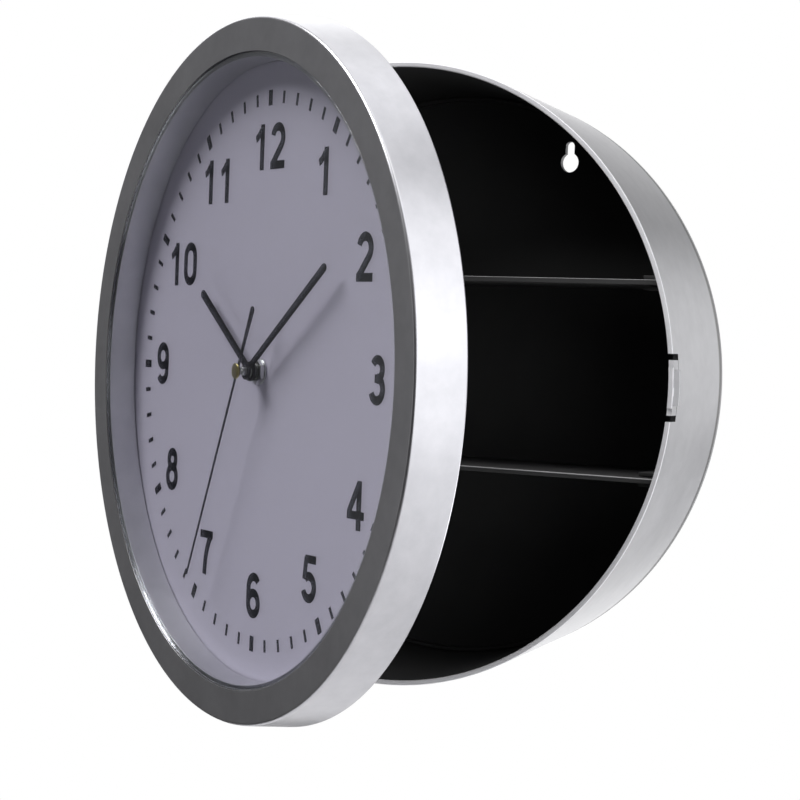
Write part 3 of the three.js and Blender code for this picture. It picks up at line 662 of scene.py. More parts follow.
# %% Movement housing
housing = cut_sheet("movement_box", rectangle((-28, 28), (-28, 28), 3.0), (15.3, 31.9))
soften(housing, 0.35, 2, 60)
thread = [(0, 8.7), (2.85, 8.7), (3.1, 8.9)]
for k in range(14):
    thread += [(2.86, 9.1 + 0.4 * k), (3.1, 9.3 + 0.4 * k)]
thread += [(3.1, 16.3), (0, 16.3)]
unite(housing, turned("bushing", thread, facets=48))
combine(housing, rod("bore", 2.45, (7.7, 17.3)))
combine(housing, block("bay", (-26.8, 26.8), (17.4, 32.9), (-26.0, -10.8)))
combine(housing, cut_sheet("lid_room", rectangle((-25.7, 25.7), (-8.5, 25.7), 1.2), (30.0, 32.9)))
combine(housing, rod("knob_well", 7.4, (28.8, 32.9), 0, 9, 64))
combine(housing, rod("stem_bore", 1.65, (26.0, 31.9), 0, 9, 32))
for side in (-1, 1):
    for z in (-20, 0, 20):
        combine(housing, block("grip", span(side, 27.6, 29), (22, 32.5), (z - 2.2, z + 2.2)))
finish(housing, DOOR, "door", "movement_plastic", "movement_housing")

# %% [markdown]
# The lid of the works is a thin plate with a raised rim, and round the knob stands a plain collar. Two
# small rivet heads keep it down. The knob has twenty flutes for the fingers.

# %% Lid and setting knob
lid = cut_sheet("movement_lid", rectangle((-25.4, 25.4), (-8.2, 25.4), 1.0), (30.3, 31.9))
pick(lid)
bpy.ops.object.mode_set(mode="EDIT")
bpy.ops.mesh.select_mode(type="FACE")
bpy.ops.mesh.select_all(action="DESELECT")
form = bmesh.from_edit_mesh(lid.data)
for face in form.faces:
    face.select_set(face.normal.y > 0.9)
bmesh.update_edit_mesh(lid.data)
bpy.ops.mesh.inset(thickness=1.2 * MM)
pushed(0, -0.35, 0)
bpy.ops.object.mode_set(mode="OBJECT")
unite(lid, rod("collar", 8.6, (31.2, 31.85), 0, 9, 64))
combine(lid, rod("well", 7.4, (29.3, 32.9), 0, 9, 64))
for x in (-21.5, 21.5):
    head = turned("rivet", [(0, 31.2), (1.7, 31.2), (1.7, 31.7, 0.25), (0, 31.85)], 32)
    unite(lid, settle(head, moved(x, 0, 21.5)))
finish(lid, DOOR, "door", "movement_plastic", "movement_cover")

FLUTE = ((6.8, -3.5), (6.8, 3.5), (6.3, 7.0), (6.3, 11.0))
flutes = [on_circle(radius, 18 * k + at) for k in range(20) for radius, at in FLUTE]
knob = cut_sheet("setting_knob_wheel", flutes, (29.1, 32.2))
soften(knob, 0.2, 2, 50)
combine(knob, rod("dish", 4.6, (31.6, 33), 0, 0, 48))
unite(knob, block("grip_bar", (-4.9, 4.9), (31.3, 32.15), (-0.7, 0.7)))
unite(knob, rod("stem", 1.5, (26.3, 30.9), 0, 0, 32))
settle(knob, moved(0, 0, 9))
finish(knob, DOOR, "knob", "movement_plastic", "setting_knob")

# %% [markdown]
# ## The cell, its contacts and the seal
# One round cell lies across the bay. It is a lathe piece, made on the dial's axis and laid over. The
# contacts are bent from thin strip: a flat one with a dimple for the nub and a bowed spring.

# %% Cell, contacts and seal
cell = turned("round_cell", [
    (0, 0.2),
    (4.4, 0.2, 0.2),
    (5.0, 0.0, 0.1),
    (6.9, 0.0, 0.3),
    (7.1, 0.9),
    (7.1, 48.3),
    (6.9, 49.2, 0.3),
    (5.9, 49.1, 0.1),
    (5.7, 48.9, 0.1),
    (2.9, 49.0, 0.2),
    (2.7, 50.5, 0.4),
    (0, 50.5),
], facets=64, steps=3)
settle(cell, moved(-24.7, 24.8, -18.4) @ rotated(-90, "Z"))
finish(cell, DOOR, "door", "cell_jacket", "battery_cell")

flat_strip = block("contact_flat", (26.1, 26.5), (19.8, 29.8), (-22.4, -14.4))
soften(flat_strip, 0.12, 2)
dimple = turned("dimple", [(0, -0.15), (1.2, -0.15, 0.1), (1.9, 0.1), (0, 0.1)], 32, steps=2)
settle(dimple, moved(26.15, 24.8, -18.4) @ rotated(-90, "Z"))
unite(flat_strip, dimple)
finish(flat_strip, DOOR, "door", "steel", "contact_positive")

bow = [(-26.5 + 4.4 * t * (1 - t), 10 * t - 5) for t in (k / 16 for k in range(17))]
bow += [(x - 0.35, z) for x, z in reversed(bow)]
leaf = cut_sheet("contact_spring", bow, (-4, 4))
settle(leaf, moved(0, 24.8, -18.4) @ rotated(-90, "X"))
soften(leaf, 0.08, 1)
finish(leaf, DOOR, "door", "steel", "contact_negative")

seal = turned("rubber_seal", rectangle((3.4, 14), (14.55, 15.15), 0.2), 96)
finish(seal, DOOR, "door", "black_rubber", "gasket")

# %% [markdown]
# ## Washer and nut
# The nut is a six-sided prism whose corners were turned off at an angle. A prism meets a cone in the
# curved edges that one sees on every nut, so the chamfer is made like the real one: the prism is
# intersected with a double cone.

# %% Washer and nut
section = [(3.25, 11.2, 0.08), (4.7, 11.2, 0.12), (4.7, 11.6, 0.12), (3.25, 11.6, 0.08)]
washer = turned("hub_washer", section, 64)
finish(washer, DOOR, "door", "steel", "dial_washer")

hexagon = [on_circle(8.2 / math.sqrt(3), 60 * k) for k in range(6)]
nut = cut_sheet("hub_nut", hexagon, (9.45, 11.05))
cones = [(0, 9.4), (4.15, 9.4), (5.1, 9.95), (5.1, 10.55), (4.15, 11.1), (0, 11.1)]
combine(nut, turned("chamfer", cones, 96), "INTERSECT")
combine(nut, turned("countersink", [(0, 9.0), (3.6, 9.0), (3.25, 9.75), (3.25, 12), (0, 12)], 64))
finish(nut, DOOR, "door", "steel", "dial_nut", angle=25)

# %% [markdown]
# ## Arbors
# Three thin shafts run inside each other: the hour pipe, the minute arbor and the seconds arbor. Each
# is turned with a small chamfer at its front end. They stand at the angle of their hands, because each
# rides with its own hand.

# %% Hour pipe, minute arbor, seconds arbor
def clockwise(degrees):
    return DOOR @ rotated(degrees)


HOUR_AT, MINUTE_AT, SECOND_AT = 304.1, 56.3, 205.2

pipe = turned("hour_tube", [(1.65, 6.7, 0.1), (2.3, 6.7, 0.2), (2.3, 17.0), (1.65, 17.0)], 48, steps=3)
finish(pipe, clockwise(HOUR_AT), "hour", "steel", "hour_pipe")
tube = turned("minute_tube", [(0.75, 4.0, 0.08), (1.5, 4.0, 0.15), (1.5, 17.0), (0.75, 17.0)], 48, steps=3)
finish(tube, clockwise(MINUTE_AT), "minute", "steel", "minute_arbor")
needle = turned("second_shaft", [(0, 2.025), (0.6, 2.025, 0.1), (0.6, 17.0, 0.1), (0, 17.0)], 32)
finish(needle, clockwise(SECOND_AT), "second", "steel", "second_arbor")

# %% [markdown]
# ## Hands
# The hands are narrow batons that are pressed from thin sheet. The press leaves the edges a little
# round, and along them runs a fine light line. Each hand is cut, given its hub, bored for its arbor and
# then softened all round. It is modelled at 12 o'clock and turned to its time by its own matrix.

# %% Hour, minute and seconds hands
def taper(root, tip, reach):
    corner = abs(tip) / 2 - 0.01
    return [(-root / 2, 0), (root / 2, 0), (tip / 2, reach, corner), (-tip / 2, reach, corner)]


def baton(name, plane, thickness, reach, root, tip, hub, hub_depth, arbor, tail=None):
    depths = (plane, plane + thickness)
    hand = cut_sheet(name, taper(root, tip, reach), depths)
    if tail:
        length, width = tail
        unite(hand, cut_sheet("tail", taper(-root, -width, -length), depths))
    middle = plane + thickness / 2
    unite(hand, rod("hub", hub, (middle - hub_depth / 2, middle + hub_depth / 2), facets=64))
    combine(hand, rod("grip", arbor + 0.05, (middle - 2, middle + 2), facets=48))
    soften(hand, 0.13, 2, 50)
    return hand


hour_hand = baton("hour_baton", 7.2, 0.5, 50.5, 2.8, 3.2, 3.5, 0.8, 2.3)
finish(hour_hand, clockwise(HOUR_AT), "hour", "hand_black", "hour_hand")
minute_hand = baton("minute_baton", 5.6, 0.5, 67.2, 2.4, 3.0, 3.0, 0.8, 1.5)
finish(minute_hand, clockwise(MINUTE_AT), "minute", "hand_black", "minute_hand")
second_hand = baton("second_baton", 2.1, 0.35, 84.8, 1.1, 0.8, 2.2, 0.5, 0.6, tail=(25.4, 2.6))
finish(second_hand, clockwise(SECOND_AT), "second", "hand_black", "second_hand")

cap = turned("second_cap_dome", [
    (0, 1.075),
    (1.6, 1.1),
    (2.4, 1.2),
    (2.85, 1.45, 0.2),
    (2.85, 1.875, 0.1),
    (0, 1.875),
], 64, steps=3)
finish(cap, clockwise(SECOND_AT), "second", "brass", "second_cap", angle=50)

# %% [markdown]
# ## The case
# The case is a round wall, wider at its mouth than at the back, and a flat back panel. The wall is one
# lathe shape. What stands on it is added: rails for the shelves on the inside and the knuckles of the
# hinge at 9 o'clock. The window of the catch is cut out at 3 o'clock.

# %% Radius of the case, and tapered solids to trim with
def case_radius(y, inset=0.0):
    return 113.0 + 5.0 * (-y / 59.0) - inset


def case_plug(inset, front=-60.0, rear=-2.3):
    slope = [(0, front), (case_radius(front, inset), front), (case_radius(rear, inset), rear), (0, rear)]
    return turned("plug", slope, 256)


# %% Case wall with rails and knuckles
WALL = 1.9
RIM_OUTSIDE = 0.35
RIM_INSIDE = 0.5
SHELF_HEIGHTS = (37.0, -33.5)


def wall_ring(name, rear, corner=0.0):
    return turned(name, [
        (case_radius(-59), -59, RIM_OUTSIDE),
        (case_radius(rear), rear, corner),
        (case_radius(rear, WALL), rear),
        (case_radius(-59, WALL), -59, RIM_INSIDE),
    ], facets=256)


shell = wall_ring("case_shell", -2.3, 0.3)
for shelf_z in SHELF_HEIGHTS:
    reach = math.sqrt(case_radius(-2.3) ** 2 - shelf_z ** 2) - 5.9
    for side in (-1, 1):
        for above in (-1, 1):
            level = sorted((shelf_z + above * 1.2, shelf_z + above * 2.6))
            rail = block("rail", span(side, reach, 119), (-50, -5.6), level)
            soften(rail, 0.25, 2)
            combine(rail, case_plug(0.95), "INTERSECT")
            unite(shell, rail)
for step in (-1, 0, 1):
    stretch = (step * 24.6 - 5, step * 24.6 + 5)
    web = block("web", (-124, -111.1), (-59, -56.4), stretch)
    combine(web, case_plug(0.95))
    unite(web, upright("knuckle", 2.6, stretch, -124, -59))
    unite(shell, web)
combine(shell, upright("pin_bore", 1.35, (-40, 40), -124, -59))
combine(shell, block("catch_window", (60, 125), (-60, -53.0), (-12, 12)))


def case_finish(middle, radius, outward, rearward):
    if outward < -0.9 or radius < case_radius(middle.y, WALL + 0.05):
        return 1
    in_window = middle.x > 60 and abs(middle.z) < 12.1 and middle.y > -58.9
    if in_window and abs(outward) < 0.7:
        return 1
    # Painted highlight: the front face of the rim gets a lighter, nearly matt copy of the lacquer.
    return 2 if middle.y < -59 + RIM_OUTSIDE and middle.x > -105 else 0


share_out(shell, 3, case_finish)
finish(shell, CASE, "case", "silver_paint", "case_wall")

# %% [markdown]
# ## The catch
# At 3 o'clock two slots free a short tongue of the wall. It bends when the door is pushed shut, and the
# wedge on it snaps behind the strike in the door. The tongue has the same section as the wall, so it
# is cut from the same turning, and the wedge is a slice of another one. The wedge gets a darker, duller
# copy of the lacquer, a painted shade, and its rear edge is black, a painted shadow line.

# %% Snap tongue
tongue = wall_ring("snap_tongue", -53.3)
combine(tongue, block("width", (60, 125), (-60, -50), (-9.8, 9.8)), "INTERSECT")
for side in (-1, 1):
    combine(tongue, block("shoulder", (60, 125), (-60, -58.2), span(side, 7.2, 11)))
wedge = turned("wedge", [(117.05, -58.3), (119.5, -56.7, 0.3), (119.5, -55.6, 0.3), (117.05, -55.1)], 256)
combine(wedge, block("width", (60, 125), (-60, -50), (-6.4, 6.4)), "INTERSECT")
unite(tongue, wedge)


def tongue_finish(middle, radius, outward, rearward):
    side_face = abs(outward) < 0.3 and abs(rearward) < 0.3
    if outward < -0.9 or side_face or rearward > 0.9:
        return 1
    # Painted shadow line: the rear edge of the wedge is black.
    if radius > 119.1 and middle.y > -55.95:
        return 1
    # Painted shade: the wedge's faces get a darker, duller copy of the lacquer.
    if radius > case_radius(middle.y) + 0.05:
        return 3
    # The front face of the tongue gets the same painted highlight as the rim.
    return 2 if middle.y < -58.1 else 0


share_out(tongue, 4, tongue_finish)
finish(tongue, CASE, "catch", "silver_paint", "catch_tongue")

# %% [markdown]
# ## Back panel with its keyholes
# The panel is a flat disc with a low rim that centres it in the wall. Each keyhole is a round hole for
# a screw head with a narrow slot above it. Disc and holes are punched, and their cut edges are painted
# pale grey: a painted highlight where light catches the walls of the holes and the panel's rim.

# %% Back panel
panel = turned("case_back_panel", [
    (0, -2),
    (case_radius(-2), -2, 0.2),
    (case_radius(0), 0, 0.5),
    (0, 0),
], facets=256)
lip = turned("lip", [(109.62, -5, 0.4), (111.22, -5, 0.4), (111.22, -1), (109.62, -1)], 256, steps=2)
for shelf_z in SHELF_HEIGHTS:
    combine(lip, block("slot", (-118, 118), (-7, -2), (shelf_z - 1.2, shelf_z + 1.2)))
unite(panel, lip)
for x in (-46.5, 46.5):
    hole = rod("head", 3.8, (-3, 1), x, 84.8, 48)
    neck = [(x - 1.9, 84.8), (x + 1.9, 84.8), (x + 1.9, 92.9, 1.85), (x - 1.9, 92.9, 1.85)]
    unite(hole, cut_sheet("neck", neck, (-3, 1)))
    combine(panel, hole)


def panel_finish(middle, radius, outward, rearward):
    in_keyhole = middle.z > 80 and abs(abs(middle.x) - 46.5) < 3.9 and abs(rearward) < 0.5
    on_edge = radius > 112 and outward > 0.3
    # Painted highlight: the cut edges of the keyholes and the panel's rim are pale grey.
    return 1 if (in_keyhole or on_edge) and middle.y > -2.1 else 0


share_out(panel, 2, panel_finish)
finish(panel, CASE, "case", "black_plastic", "case_back")

# %% [markdown]
# ## Shelves
# Two boards lie between the rails. Their ends follow the round wall, which is again an intersection
# with a tapered plug. The front edge is rounded, and the top of that soft edge is painted pale grey: a
# painted highlight along the edge.

# %% Shelf boards
def board_finish(middle, radius, outward, rearward):
    # Painted highlight: the rounded top of each shelf's front edge is pale grey.
    on_top = any(0.5 < middle.z - z < 1.0 for z in SHELF_HEIGHTS)
    return 1 if on_top and middle.y < -56.42 else 0


for where, z in zip(("upper", "lower"), SHELF_HEIGHTS):
    board = block("board", (-119, 119), (-56.8, -2.3), (z - 0.9, z + 0.9))
    combine(board, case_plug(2.2), "INTERSECT")
    board.name = board.data.name = f"shelf_board_{where}"
    soften(board, 0.35, 3, 60)
    share_out(board, 2, board_finish)
    finish(board, CASE, "case", "black_plastic", f"{where}_shelf")

# %% [markdown]
# ## Hinge pin
# A steel pin with a flat head goes down through the five knuckles. Its foot is chamfered, so that it
# finds the holes when it is pushed in.

# %% Hinge pin
pin = turned("hinge_rod", [
    (0, -29.6),
    (0.8, -29.6),
    (1.2, -29.0),
    (1.2, 29.9),
    (2.1, 29.9, 0.15),
    (2.1, 30.7, 0.3),
    (0, 30.7),
], 32, steps=2)
settle(pin, Matrix.Translation(HINGE) @ rotated(90, "X"))
finish(pin, CASE, "case", "steel", "hinge_pin")

# %% [markdown]
# ## Shader maths in plain expressions
# A finish is a small net of nodes. To keep it readable, a Signal wraps one socket, and +, -, * and **
# between signals and numbers put the Math nodes in. A Finish holds one material and its place, which is
# measured in millimetres in the frame of the door or the case. It has one method for every other node:
# its type, its settings, and the values or signals of its sockets.

# %% Signal and Finish
class Signal:
    def __init__(self, finish, socket):
        self.finish = finish
        self.socket = socket

    def maths(self, operation, first, second):
        return self.finish.node("Math", {"operation": operation}, {0: first, 1: second})[0]

    def __add__(self, other):
        return self.maths("ADD", self, other)

    __radd__ = __add__

    def __mul__(self, other):
        return self.maths("MULTIPLY", self, other)

    __rmul__ = __mul__

    def __sub__(self, other):
        return self.maths("SUBTRACT", self, other)

    def __rsub__(self, other):
        return self.maths("SUBTRACT", other, self)

    def __pow__(self, other):
        return self.maths("POWER", self, other)

    def ramp(self, low, high, to_low=0.0, to_high=1.0):
        settings = {"interpolation_type": "SMOOTHSTEP"}
        inputs = {"Value": self, "From Min": low, "From Max": high, "To Min": to_low, "To Max": to_high}
        return self.finish.node("MapRange", settings, inputs)["Result"]


# %% The outputs of a node, and a finish
class Outputs:
    def __init__(self, finish, node):
        self.finish = finish
        self.made = node

    def __getitem__(self, key):
        return Signal(self.finish, self.made.outputs[key])


class Finish:
    def __init__(self, name, turn=CASE):
        self.material = bpy.data.materials.new(name)
        self.material.use_nodes = True
        self.tree = self.material.node_tree
        self.tree.nodes.clear()
        back = turn.inverted()
        inputs = {
            "Vector": self.node("TexCoord")["Object"],
            "Location": back.translation / MM,
            "Rotation": back.to_euler("XYZ"),
            "Scale": (1 / MM, 1 / MM, 1 / MM),
        }
        self.place = self.node("Mapping", {"vector_type": "POINT"}, inputs)["Vector"]

    def node(self, kind, settings=None, inputs=None):
        made = self.tree.nodes.new("ShaderNode" + kind)
        for key, value in (settings or {}).items():
            setattr(made, key, value)
        for key, value in (inputs or {}).items():
            if isinstance(value, Signal):
                self.tree.links.new(value.socket, made.inputs[key])
            else:
                made.inputs[key].default_value = value
        return Outputs(self, made)

    def noise(self, scale, detail=2.0, roughness=0.5, place=None):
        inputs = {"Vector": place or self.place, "Scale": scale, "Detail": detail, "Roughness": roughness}
        return self.node("TexNoise", {"noise_dimensions": "3D"}, inputs)["Fac"]

    def blend(self, mask, dark, light):
        # A Mix node keeps sockets for every kind of data. The colours are inputs 6 and 7 and output 2.
        return self.node("Mix", {"data_type": "RGBA"}, {0: mask, 6: dark, 7: light})[2]

    def bump(self, height, strength, distance):
        inputs = {"Height": height, "Strength": strength, "Distance": distance * MM}
        return self.node("Bump", {}, inputs)["Normal"]

    def surface(self, **inputs):
        named_inputs = {key.replace("_", " "): value for key, value in inputs.items()}
        return self.done(self.node("BsdfPrincipled", {}, named_inputs)["BSDF"])

    def done(self, shader):
        self.node("OutputMaterial", {}, {"Surface": shader})
        print(self.material.name, "-", len(self.tree.nodes), "nodes")
        return self.material


def grey(value, tint=(1.0, 1.0, 1.0)):
    return (value * tint[0], value * tint[1], value * tint[2], 1.0)


# %% [markdown]
# ## Silver paint
# The case and the bezel are plastic with a sprayed silver lacquer. Such paint holds tiny flakes of
# metal: each flake tilts a little differently, which gives a fine grain in colour and gloss, and the
# sprayed film leaves a soft ripple. So it is partly metallic, with noise of several sizes. On the case
# the colour darkens to grey over the last millimetre before the back edge: a painted shade line there.

# %% Silver lacquer of the case and of the bezel
def silver_lacquer(name, turn, tone, metallic, gloss, painted_shade_from=None, blue=1.03):
    paint = Finish(name, turn)
    flakes = paint.noise(9.0, 1.0)
    clouds = paint.noise(0.035, 2.0)
    mottle = paint.noise(0.16, 3.0, 0.6)
    ripple = paint.noise(0.55, 1.0)
    mask = (flakes - 0.5) * 0.6 + (clouds - 0.5) * 0.5 + (mottle - 0.5) * 0.9 + 0.5
    colour = paint.blend(mask, grey(tone * 0.86, (0.98, 0.98, blue)), grey(tone * 1.11, (0.99, 0.99, blue)))
    # Painted shade: towards the back edge of the case the colour darkens to grey.
    if painted_shade_from is not None:
        depth = paint.node("SeparateXYZ", {}, {"Vector": paint.place})["Y"]
        colour = paint.blend(depth.ramp(painted_shade_from, painted_shade_from + 1.3), colour, grey(0.16))
    rough = flakes * 0.08 + clouds * 0.06 + (gloss - 0.07)
    normal = paint.bump(ripple * 0.6 + flakes * 0.05, 0.18, 0.03)
    return paint.surface(
        Base_Color=colour, Metallic=metallic, Roughness=rough, Normal=normal,
        Coat_Weight=0.08, Coat_Roughness=0.3,
    )


silver = silver_lacquer("silver_lacquer", CASE, 0.50, 0.75, 0.31, painted_shade_from=-4.8)
# Lighter, nearly matt copy for the front faces of the rim and the tongue: a painted highlight.
rim_painted_highlight = silver_lacquer("rim_lacquer_painted_highlight", CASE, 0.72, 0.1, 0.55)
# Darker, duller copy for the wedge: painted shade.
wedge_painted_shade = silver_lacquer("wedge_lacquer_painted_shade", CASE, 0.42, 0.3, 0.5)
bezel_silver = silver_lacquer("bezel_lacquer", DOOR, 0.47, 0.96, 0.33, blue=1.045)
# Lighter copy for the well wall: painted light.
well_painted_light = silver_lacquer("well_lacquer_painted_light", DOOR, 0.62, 0.9, 0.34)
# Dark copy for the step round the glass: painted shade.
step_painted_shade = silver_lacquer("step_lacquer_painted_shade", DOOR, 0.16, 0.9, 0.25)

# %% [markdown]
# ## Black plastics
# The mould for a plastic part is often spark-eroded, and its grain prints into the plastic. That grain
# is a fine bump. The shelf boards and the back panel are a coarser black than the movement's box. The
# front edge of a shelf and the edges that a punch has cut are painted pale grey: a painted highlight.

# %% Moulded plastics
def moulded(name, turn, tone, gloss, grain, depth, tint=(1.0, 1.0, 1.03), shine=0.5):
    plastic = Finish(name, turn)
    spark = plastic.noise(grain, 3.0, 0.6)
    flow = plastic.noise(0.05, 2.0)
    colour = plastic.blend(flow * 0.6 + spark * 0.4, grey(tone * 0.8, tint), grey(tone * 1.25, tint))
    rough = spark * 0.14 + flow * 0.08 + (gloss - 0.11)
    normal = plastic.bump(spark, 0.35, depth)
    return plastic.surface(
        Base_Color=colour, Roughness=rough, Normal=normal, Specular_IOR_Level=shine,
    )


case_black = moulded("case_black", CASE, 0.04, 0.6, 2.6, 0.05, shine=0.2)
# Pale grey for the cut edges of the back panel: a painted highlight.
cut_edge_painted_highlight = moulded("cut_edge_painted_highlight", CASE, 0.2, 0.6, 2.0, 0.04)
# Pale grey for the front edge of the shelves: a painted highlight.
shelf_edge_painted_highlight = moulded("shelf_edge_painted_highlight", CASE, 0.32, 0.6, 2.0, 0.04)
door_black = moulded("door_black", DOOR, 0.018, 0.5, 2.6, 0.05)
movement_black = moulded("movement_black", DOOR, 0.03, 0.42, 4.0, 0.03)
rubber = moulded("seal_rubber", DOOR, 0.022, 0.75, 1.4, 0.06)

# %% [markdown]
# ## Dial card and ink
# The dial is a printed card in lavender grey, quite matt, with the faint fibre of card. That grey is
# darker than white card: partly the card's tint, partly painted shade for the dim light on the dial. The
# ink lies on it as a thin film, a little glossier than the card, and it is not quite black.

# %% Dial card and ink
card = Finish("printed_card", DOOR)
fibre = card.noise(3.2, 4.0, 0.65)
tone = card.noise(0.018, 1.0)
# Partly painted shade: the card is greyer than white.
colour = card.blend(fibre * 0.35 + tone * 0.65, (0.56, 0.53, 0.655, 1), (0.60, 0.57, 0.705, 1))
normal = card.bump(fibre, 0.15, 0.02)
printed_card = card.surface(Base_Color=colour, Roughness=fibre * 0.12 + 0.52, Normal=normal)

ink = Finish("dial_ink", DOOR)
film = ink.noise(1.8, 3.0, 0.6)
colour = ink.blend(film, (0.006, 0.0055, 0.009, 1), (0.011, 0.010, 0.015, 1))
normal = ink.bump(film, 0.2, 0.02)
dial_ink = ink.surface(
    Base_Color=colour, Roughness=film * 0.15 + 0.5, Normal=normal, Specular_IOR_Level=0.1,
)

# %% [markdown]
# ## Metals and the paint of the hands
# Steel parts are turned or drawn, so their gloss changes in fine rings or streaks. The cap is lacquered
# brass with an olive tone. The hands are aluminium with a thin satin black paint.

# %% Steel, brass, black paint of the hands
def metal(name, turn, colour, gloss, streaks):
    bare = Finish(name, turn)
    drawn = bare.node("VectorMath", {"operation": "MULTIPLY"}, {0: bare.place, 1: streaks})["Vector"]
    lines = bare.noise(1.0, 3.0, 0.6, drawn)
    stain = bare.noise(0.5, 2.0)
    dark = tuple(c * 0.82 for c in colour) + (1,)
    light = tuple(min(1.0, c * 1.1) for c in colour) + (1,)
    base = bare.blend(lines * 0.6 + stain * 0.4, dark, light)
    rough = lines * 0.16 + stain * 0.08 + (gloss - 0.12)
    normal = bare.bump(lines, 0.2, 0.01)
    return bare.surface(Base_Color=base, Metallic=1.0, Roughness=rough, Normal=normal)


steel = metal("turned_steel", DOOR, (0.60, 0.61, 0.62), 0.3, (3.0, 9.0, 3.0))
pin_steel = metal("drawn_steel", CASE, (0.60, 0.61, 0.62), 0.28, (6.0, 6.0, 0.6))
brass = metal("cap_brass", DOOR, (0.42, 0.36, 0.16), 0.3, (3.0, 6.0, 3.0))
jacket = metal("cell_foil", DOOR, (0.36, 0.37, 0.38), 0.36, (0.3, 5.0, 5.0))

hands = Finish("hand_paint", DOOR)
grain = hands.noise(4.5, 2.0)
worn = hands.noise(0.25, 2.0)
colour = hands.blend(grain * 0.5 + worn * 0.5, (0.006, 0.0055, 0.009, 1), (0.012, 0.011, 0.016, 1))
normal = hands.bump(grain, 0.2, 0.015)
hand_paint = hands.surface(
    Base_Color=colour, Roughness=grain * 0.1 + worn * 0.1 + 0.38, Normal=normal, Specular_IOR_Level=0.2,
)

# %% [markdown]
# ## Glass
# A clear pane lets nearly all light through and mirrors a little, more so where it is seen at a slant.
# That is a Mix Shader: transparent and glossy, with Fresnel as the factor. The ground edge is frosted,
# so it mixes in more of the gloss there, by the distance from the dial's axis.

# %% Clear glass
pane = Finish("clear_glass", DOOR)
parts = pane.node("SeparateXYZ", {}, {"Vector": pane.place})
radius = (parts["X"] * parts["X"] + parts["Z"] * parts["Z"]) ** 0.5
edge = radius.ramp(111.0, 111.5)
facing = pane.node("Fresnel", {}, {"IOR": 1.45})["Fac"]
clear = pane.node("BsdfTransparent", {}, {"Color": (0.99, 0.995, 0.995, 1)})["BSDF"]
dust = pane.noise(0.08, 3.0)
shine = pane.node("BsdfGlossy", {}, {"Color": (0.9, 0.92, 0.95, 1), "Roughness": 0.06})["BSDF"]
factor = facing * 0.3 + dust * 0.004 + edge * 0.12
glass_finish = pane.done(pane.node("MixShader", {}, {0: factor, 1: clear, 2: shine})["Shader"])

# %% [markdown]
# ## Dressing the pieces
# Each piece now gets its finish, and a piece whose faces were shared out gets one for each number.

# %% Finish of each piece
DRESS = {
    "bezel": (bezel_silver, door_black, well_painted_light, step_painted_shade),
    "case_shell": (silver, case_black, rim_painted_highlight),
    "snap_tongue": (silver, case_black, rim_painted_highlight, wedge_painted_shade),
    "case_back_panel": (case_black, cut_edge_painted_highlight),
    "shelf_board_upper shelf_board_lower": (case_black, shelf_edge_painted_highlight),
    "hinge_rod": (pin_steel,),
    "front_glass": (glass_finish,),
    "dial": (printed_card,),
    "dial_numerals minute_marks": (dial_ink,),
    "back_plate": (door_black,),
    "rubber_seal": (rubber,),
    "movement_box movement_lid setting_knob_wheel": (movement_black,),
    "round_cell": (jacket,),
    "contact_flat contact_spring hub_washer hub_nut hour_tube minute_tube second_shaft": (steel,),
    " ".join(f"plate_screw_{i}" for i in range(1, 7)): (steel,),
    "hour_baton minute_baton second_baton": (hand_paint,),
    "second_cap_dome": (brass,),
}
for names, finishes in DRESS.items():
    for name in names.split():
        slots = bpy.data.objects[name].data.materials
        while len(slots) < len(finishes):
            slots.append(None)
        for place, material in enumerate(finishes):
            slots[place] = material
print(sum(len(names.split()) for names in DRESS), "pieces dressed")

# %% [markdown]
# ## Light
# A plain studio: a pale floor, one large soft key light from the upper left for the shadow that the
# bezel throws on the dial, and soft panels around the clock. Silver paint shows what it mirrors. The
# bezel's face mirrors the dim left side of the room, and its skirt and the case mirror the right side
# and the back. The panels are soft spots in the world, each with an azimuth counted from +X towards +Y,
# a height above the horizon and a strength. To the camera the world is plain white.

# %% Floor
let_go()
bpy.ops.mesh.primitive_plane_add(size=1.4, location=(0, -0.06, -0.7))
floor = named("studio_floor")
floor_finish = Finish("studio_floor")
soft = floor_finish.noise(0.01, 2.0)
colour = floor_finish.blend(soft, (0.60, 0.60, 0.61, 1), (0.63, 0.63, 0.63, 1))
floor.data.materials.append(floor_finish.surface(Base_Color=colour, Roughness=0.9))
floor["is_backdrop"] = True

# %% World with soft panels
room = bpy.data.worlds.new("studio")
scene.world = room
room.use_nodes = True


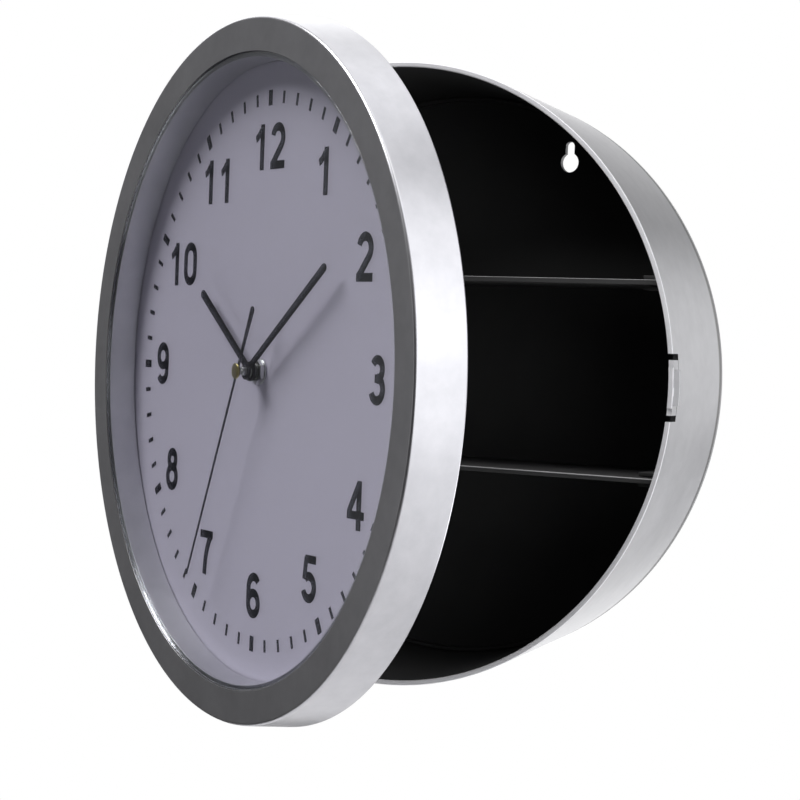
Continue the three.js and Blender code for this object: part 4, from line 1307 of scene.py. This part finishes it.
class Room(Finish):
    def __init__(self, world):
        self.tree = world.node_tree
        self.tree.nodes.clear()
        self.ray = self.node("TexCoord")["Generated"]

    def panel(self, azimuth, height, strength, spread=30):
        a, h = math.radians(azimuth), math.radians(height)
        aim = (math.cos(a) * math.cos(h), math.sin(a) * math.cos(h), math.sin(h))
        settings = {"operation": "DOT_PRODUCT"}
        facing = self.node("VectorMath", settings, {0: self.ray, 1: aim})["Value"]
        return facing.ramp(math.cos(math.radians(spread)), math.cos(math.radians(4)), 0.0, strength)


PANELS = [
    # right
    (0, 0, 1.3), (0, 30, 2.2), (0, -30, 1.2),
    # front
    (330, 0, 2.2), (330, 65, 2.6), (300, 30, 0.15),
    # rear, and through the gap of the door
    (105, 0, 0.6), (140, 0, 1.0), (77, 5, 0.9, 17), (106, 13, 0.4, 16), (106, -13, 1.3, 16),
    # high and low
    (90, 65, 1.8), (135, 30, 2.0), (45, -30, 5.5),
    # left
    (205, 0, 0.3), (180, 30, 0.13),
]
studio = Room(room)
around = studio.panel(*PANELS[0])
for panel in PANELS[1:]:
    around = around + studio.panel(*panel)
seen = studio.node("LightPath")["Is Camera Ray"]
strength = seen + (1 - seen) * around
back = studio.node("Background", {}, {"Color": (1, 1, 1, 1), "Strength": strength})["Background"]
studio.node("OutputWorld", {}, {"Surface": back})
print("world:", len(studio.tree.nodes), "nodes")

# %% Key light and view
sun = bpy.data.lights.new("key", "SUN")
sun.energy = 3.9
sun.angle = math.radians(35)
sun.color = (1.0, 0.99, 0.98)
key = bpy.data.objects.new("key", sun)
key.rotation_euler = Vector((-0.52, -0.34, 0.78)).to_track_quat("Z", "Y").to_euler()
scene.collection.objects.link(key)

scene.view_settings.view_transform = "Standard"
scene.view_settings.look = "None"

# %% [markdown]
# ## The last measure
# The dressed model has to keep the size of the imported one.

# %% Sizes and finish
visual_box = [list(corner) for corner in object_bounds()]
grown = [(visual_box[1][k] - visual_box[0][k]) - (cad_box[1][k] - cad_box[0][k]) for k in range(3)]
print("box grew by", [round(g / MM, 2) for g in grown], "mm")
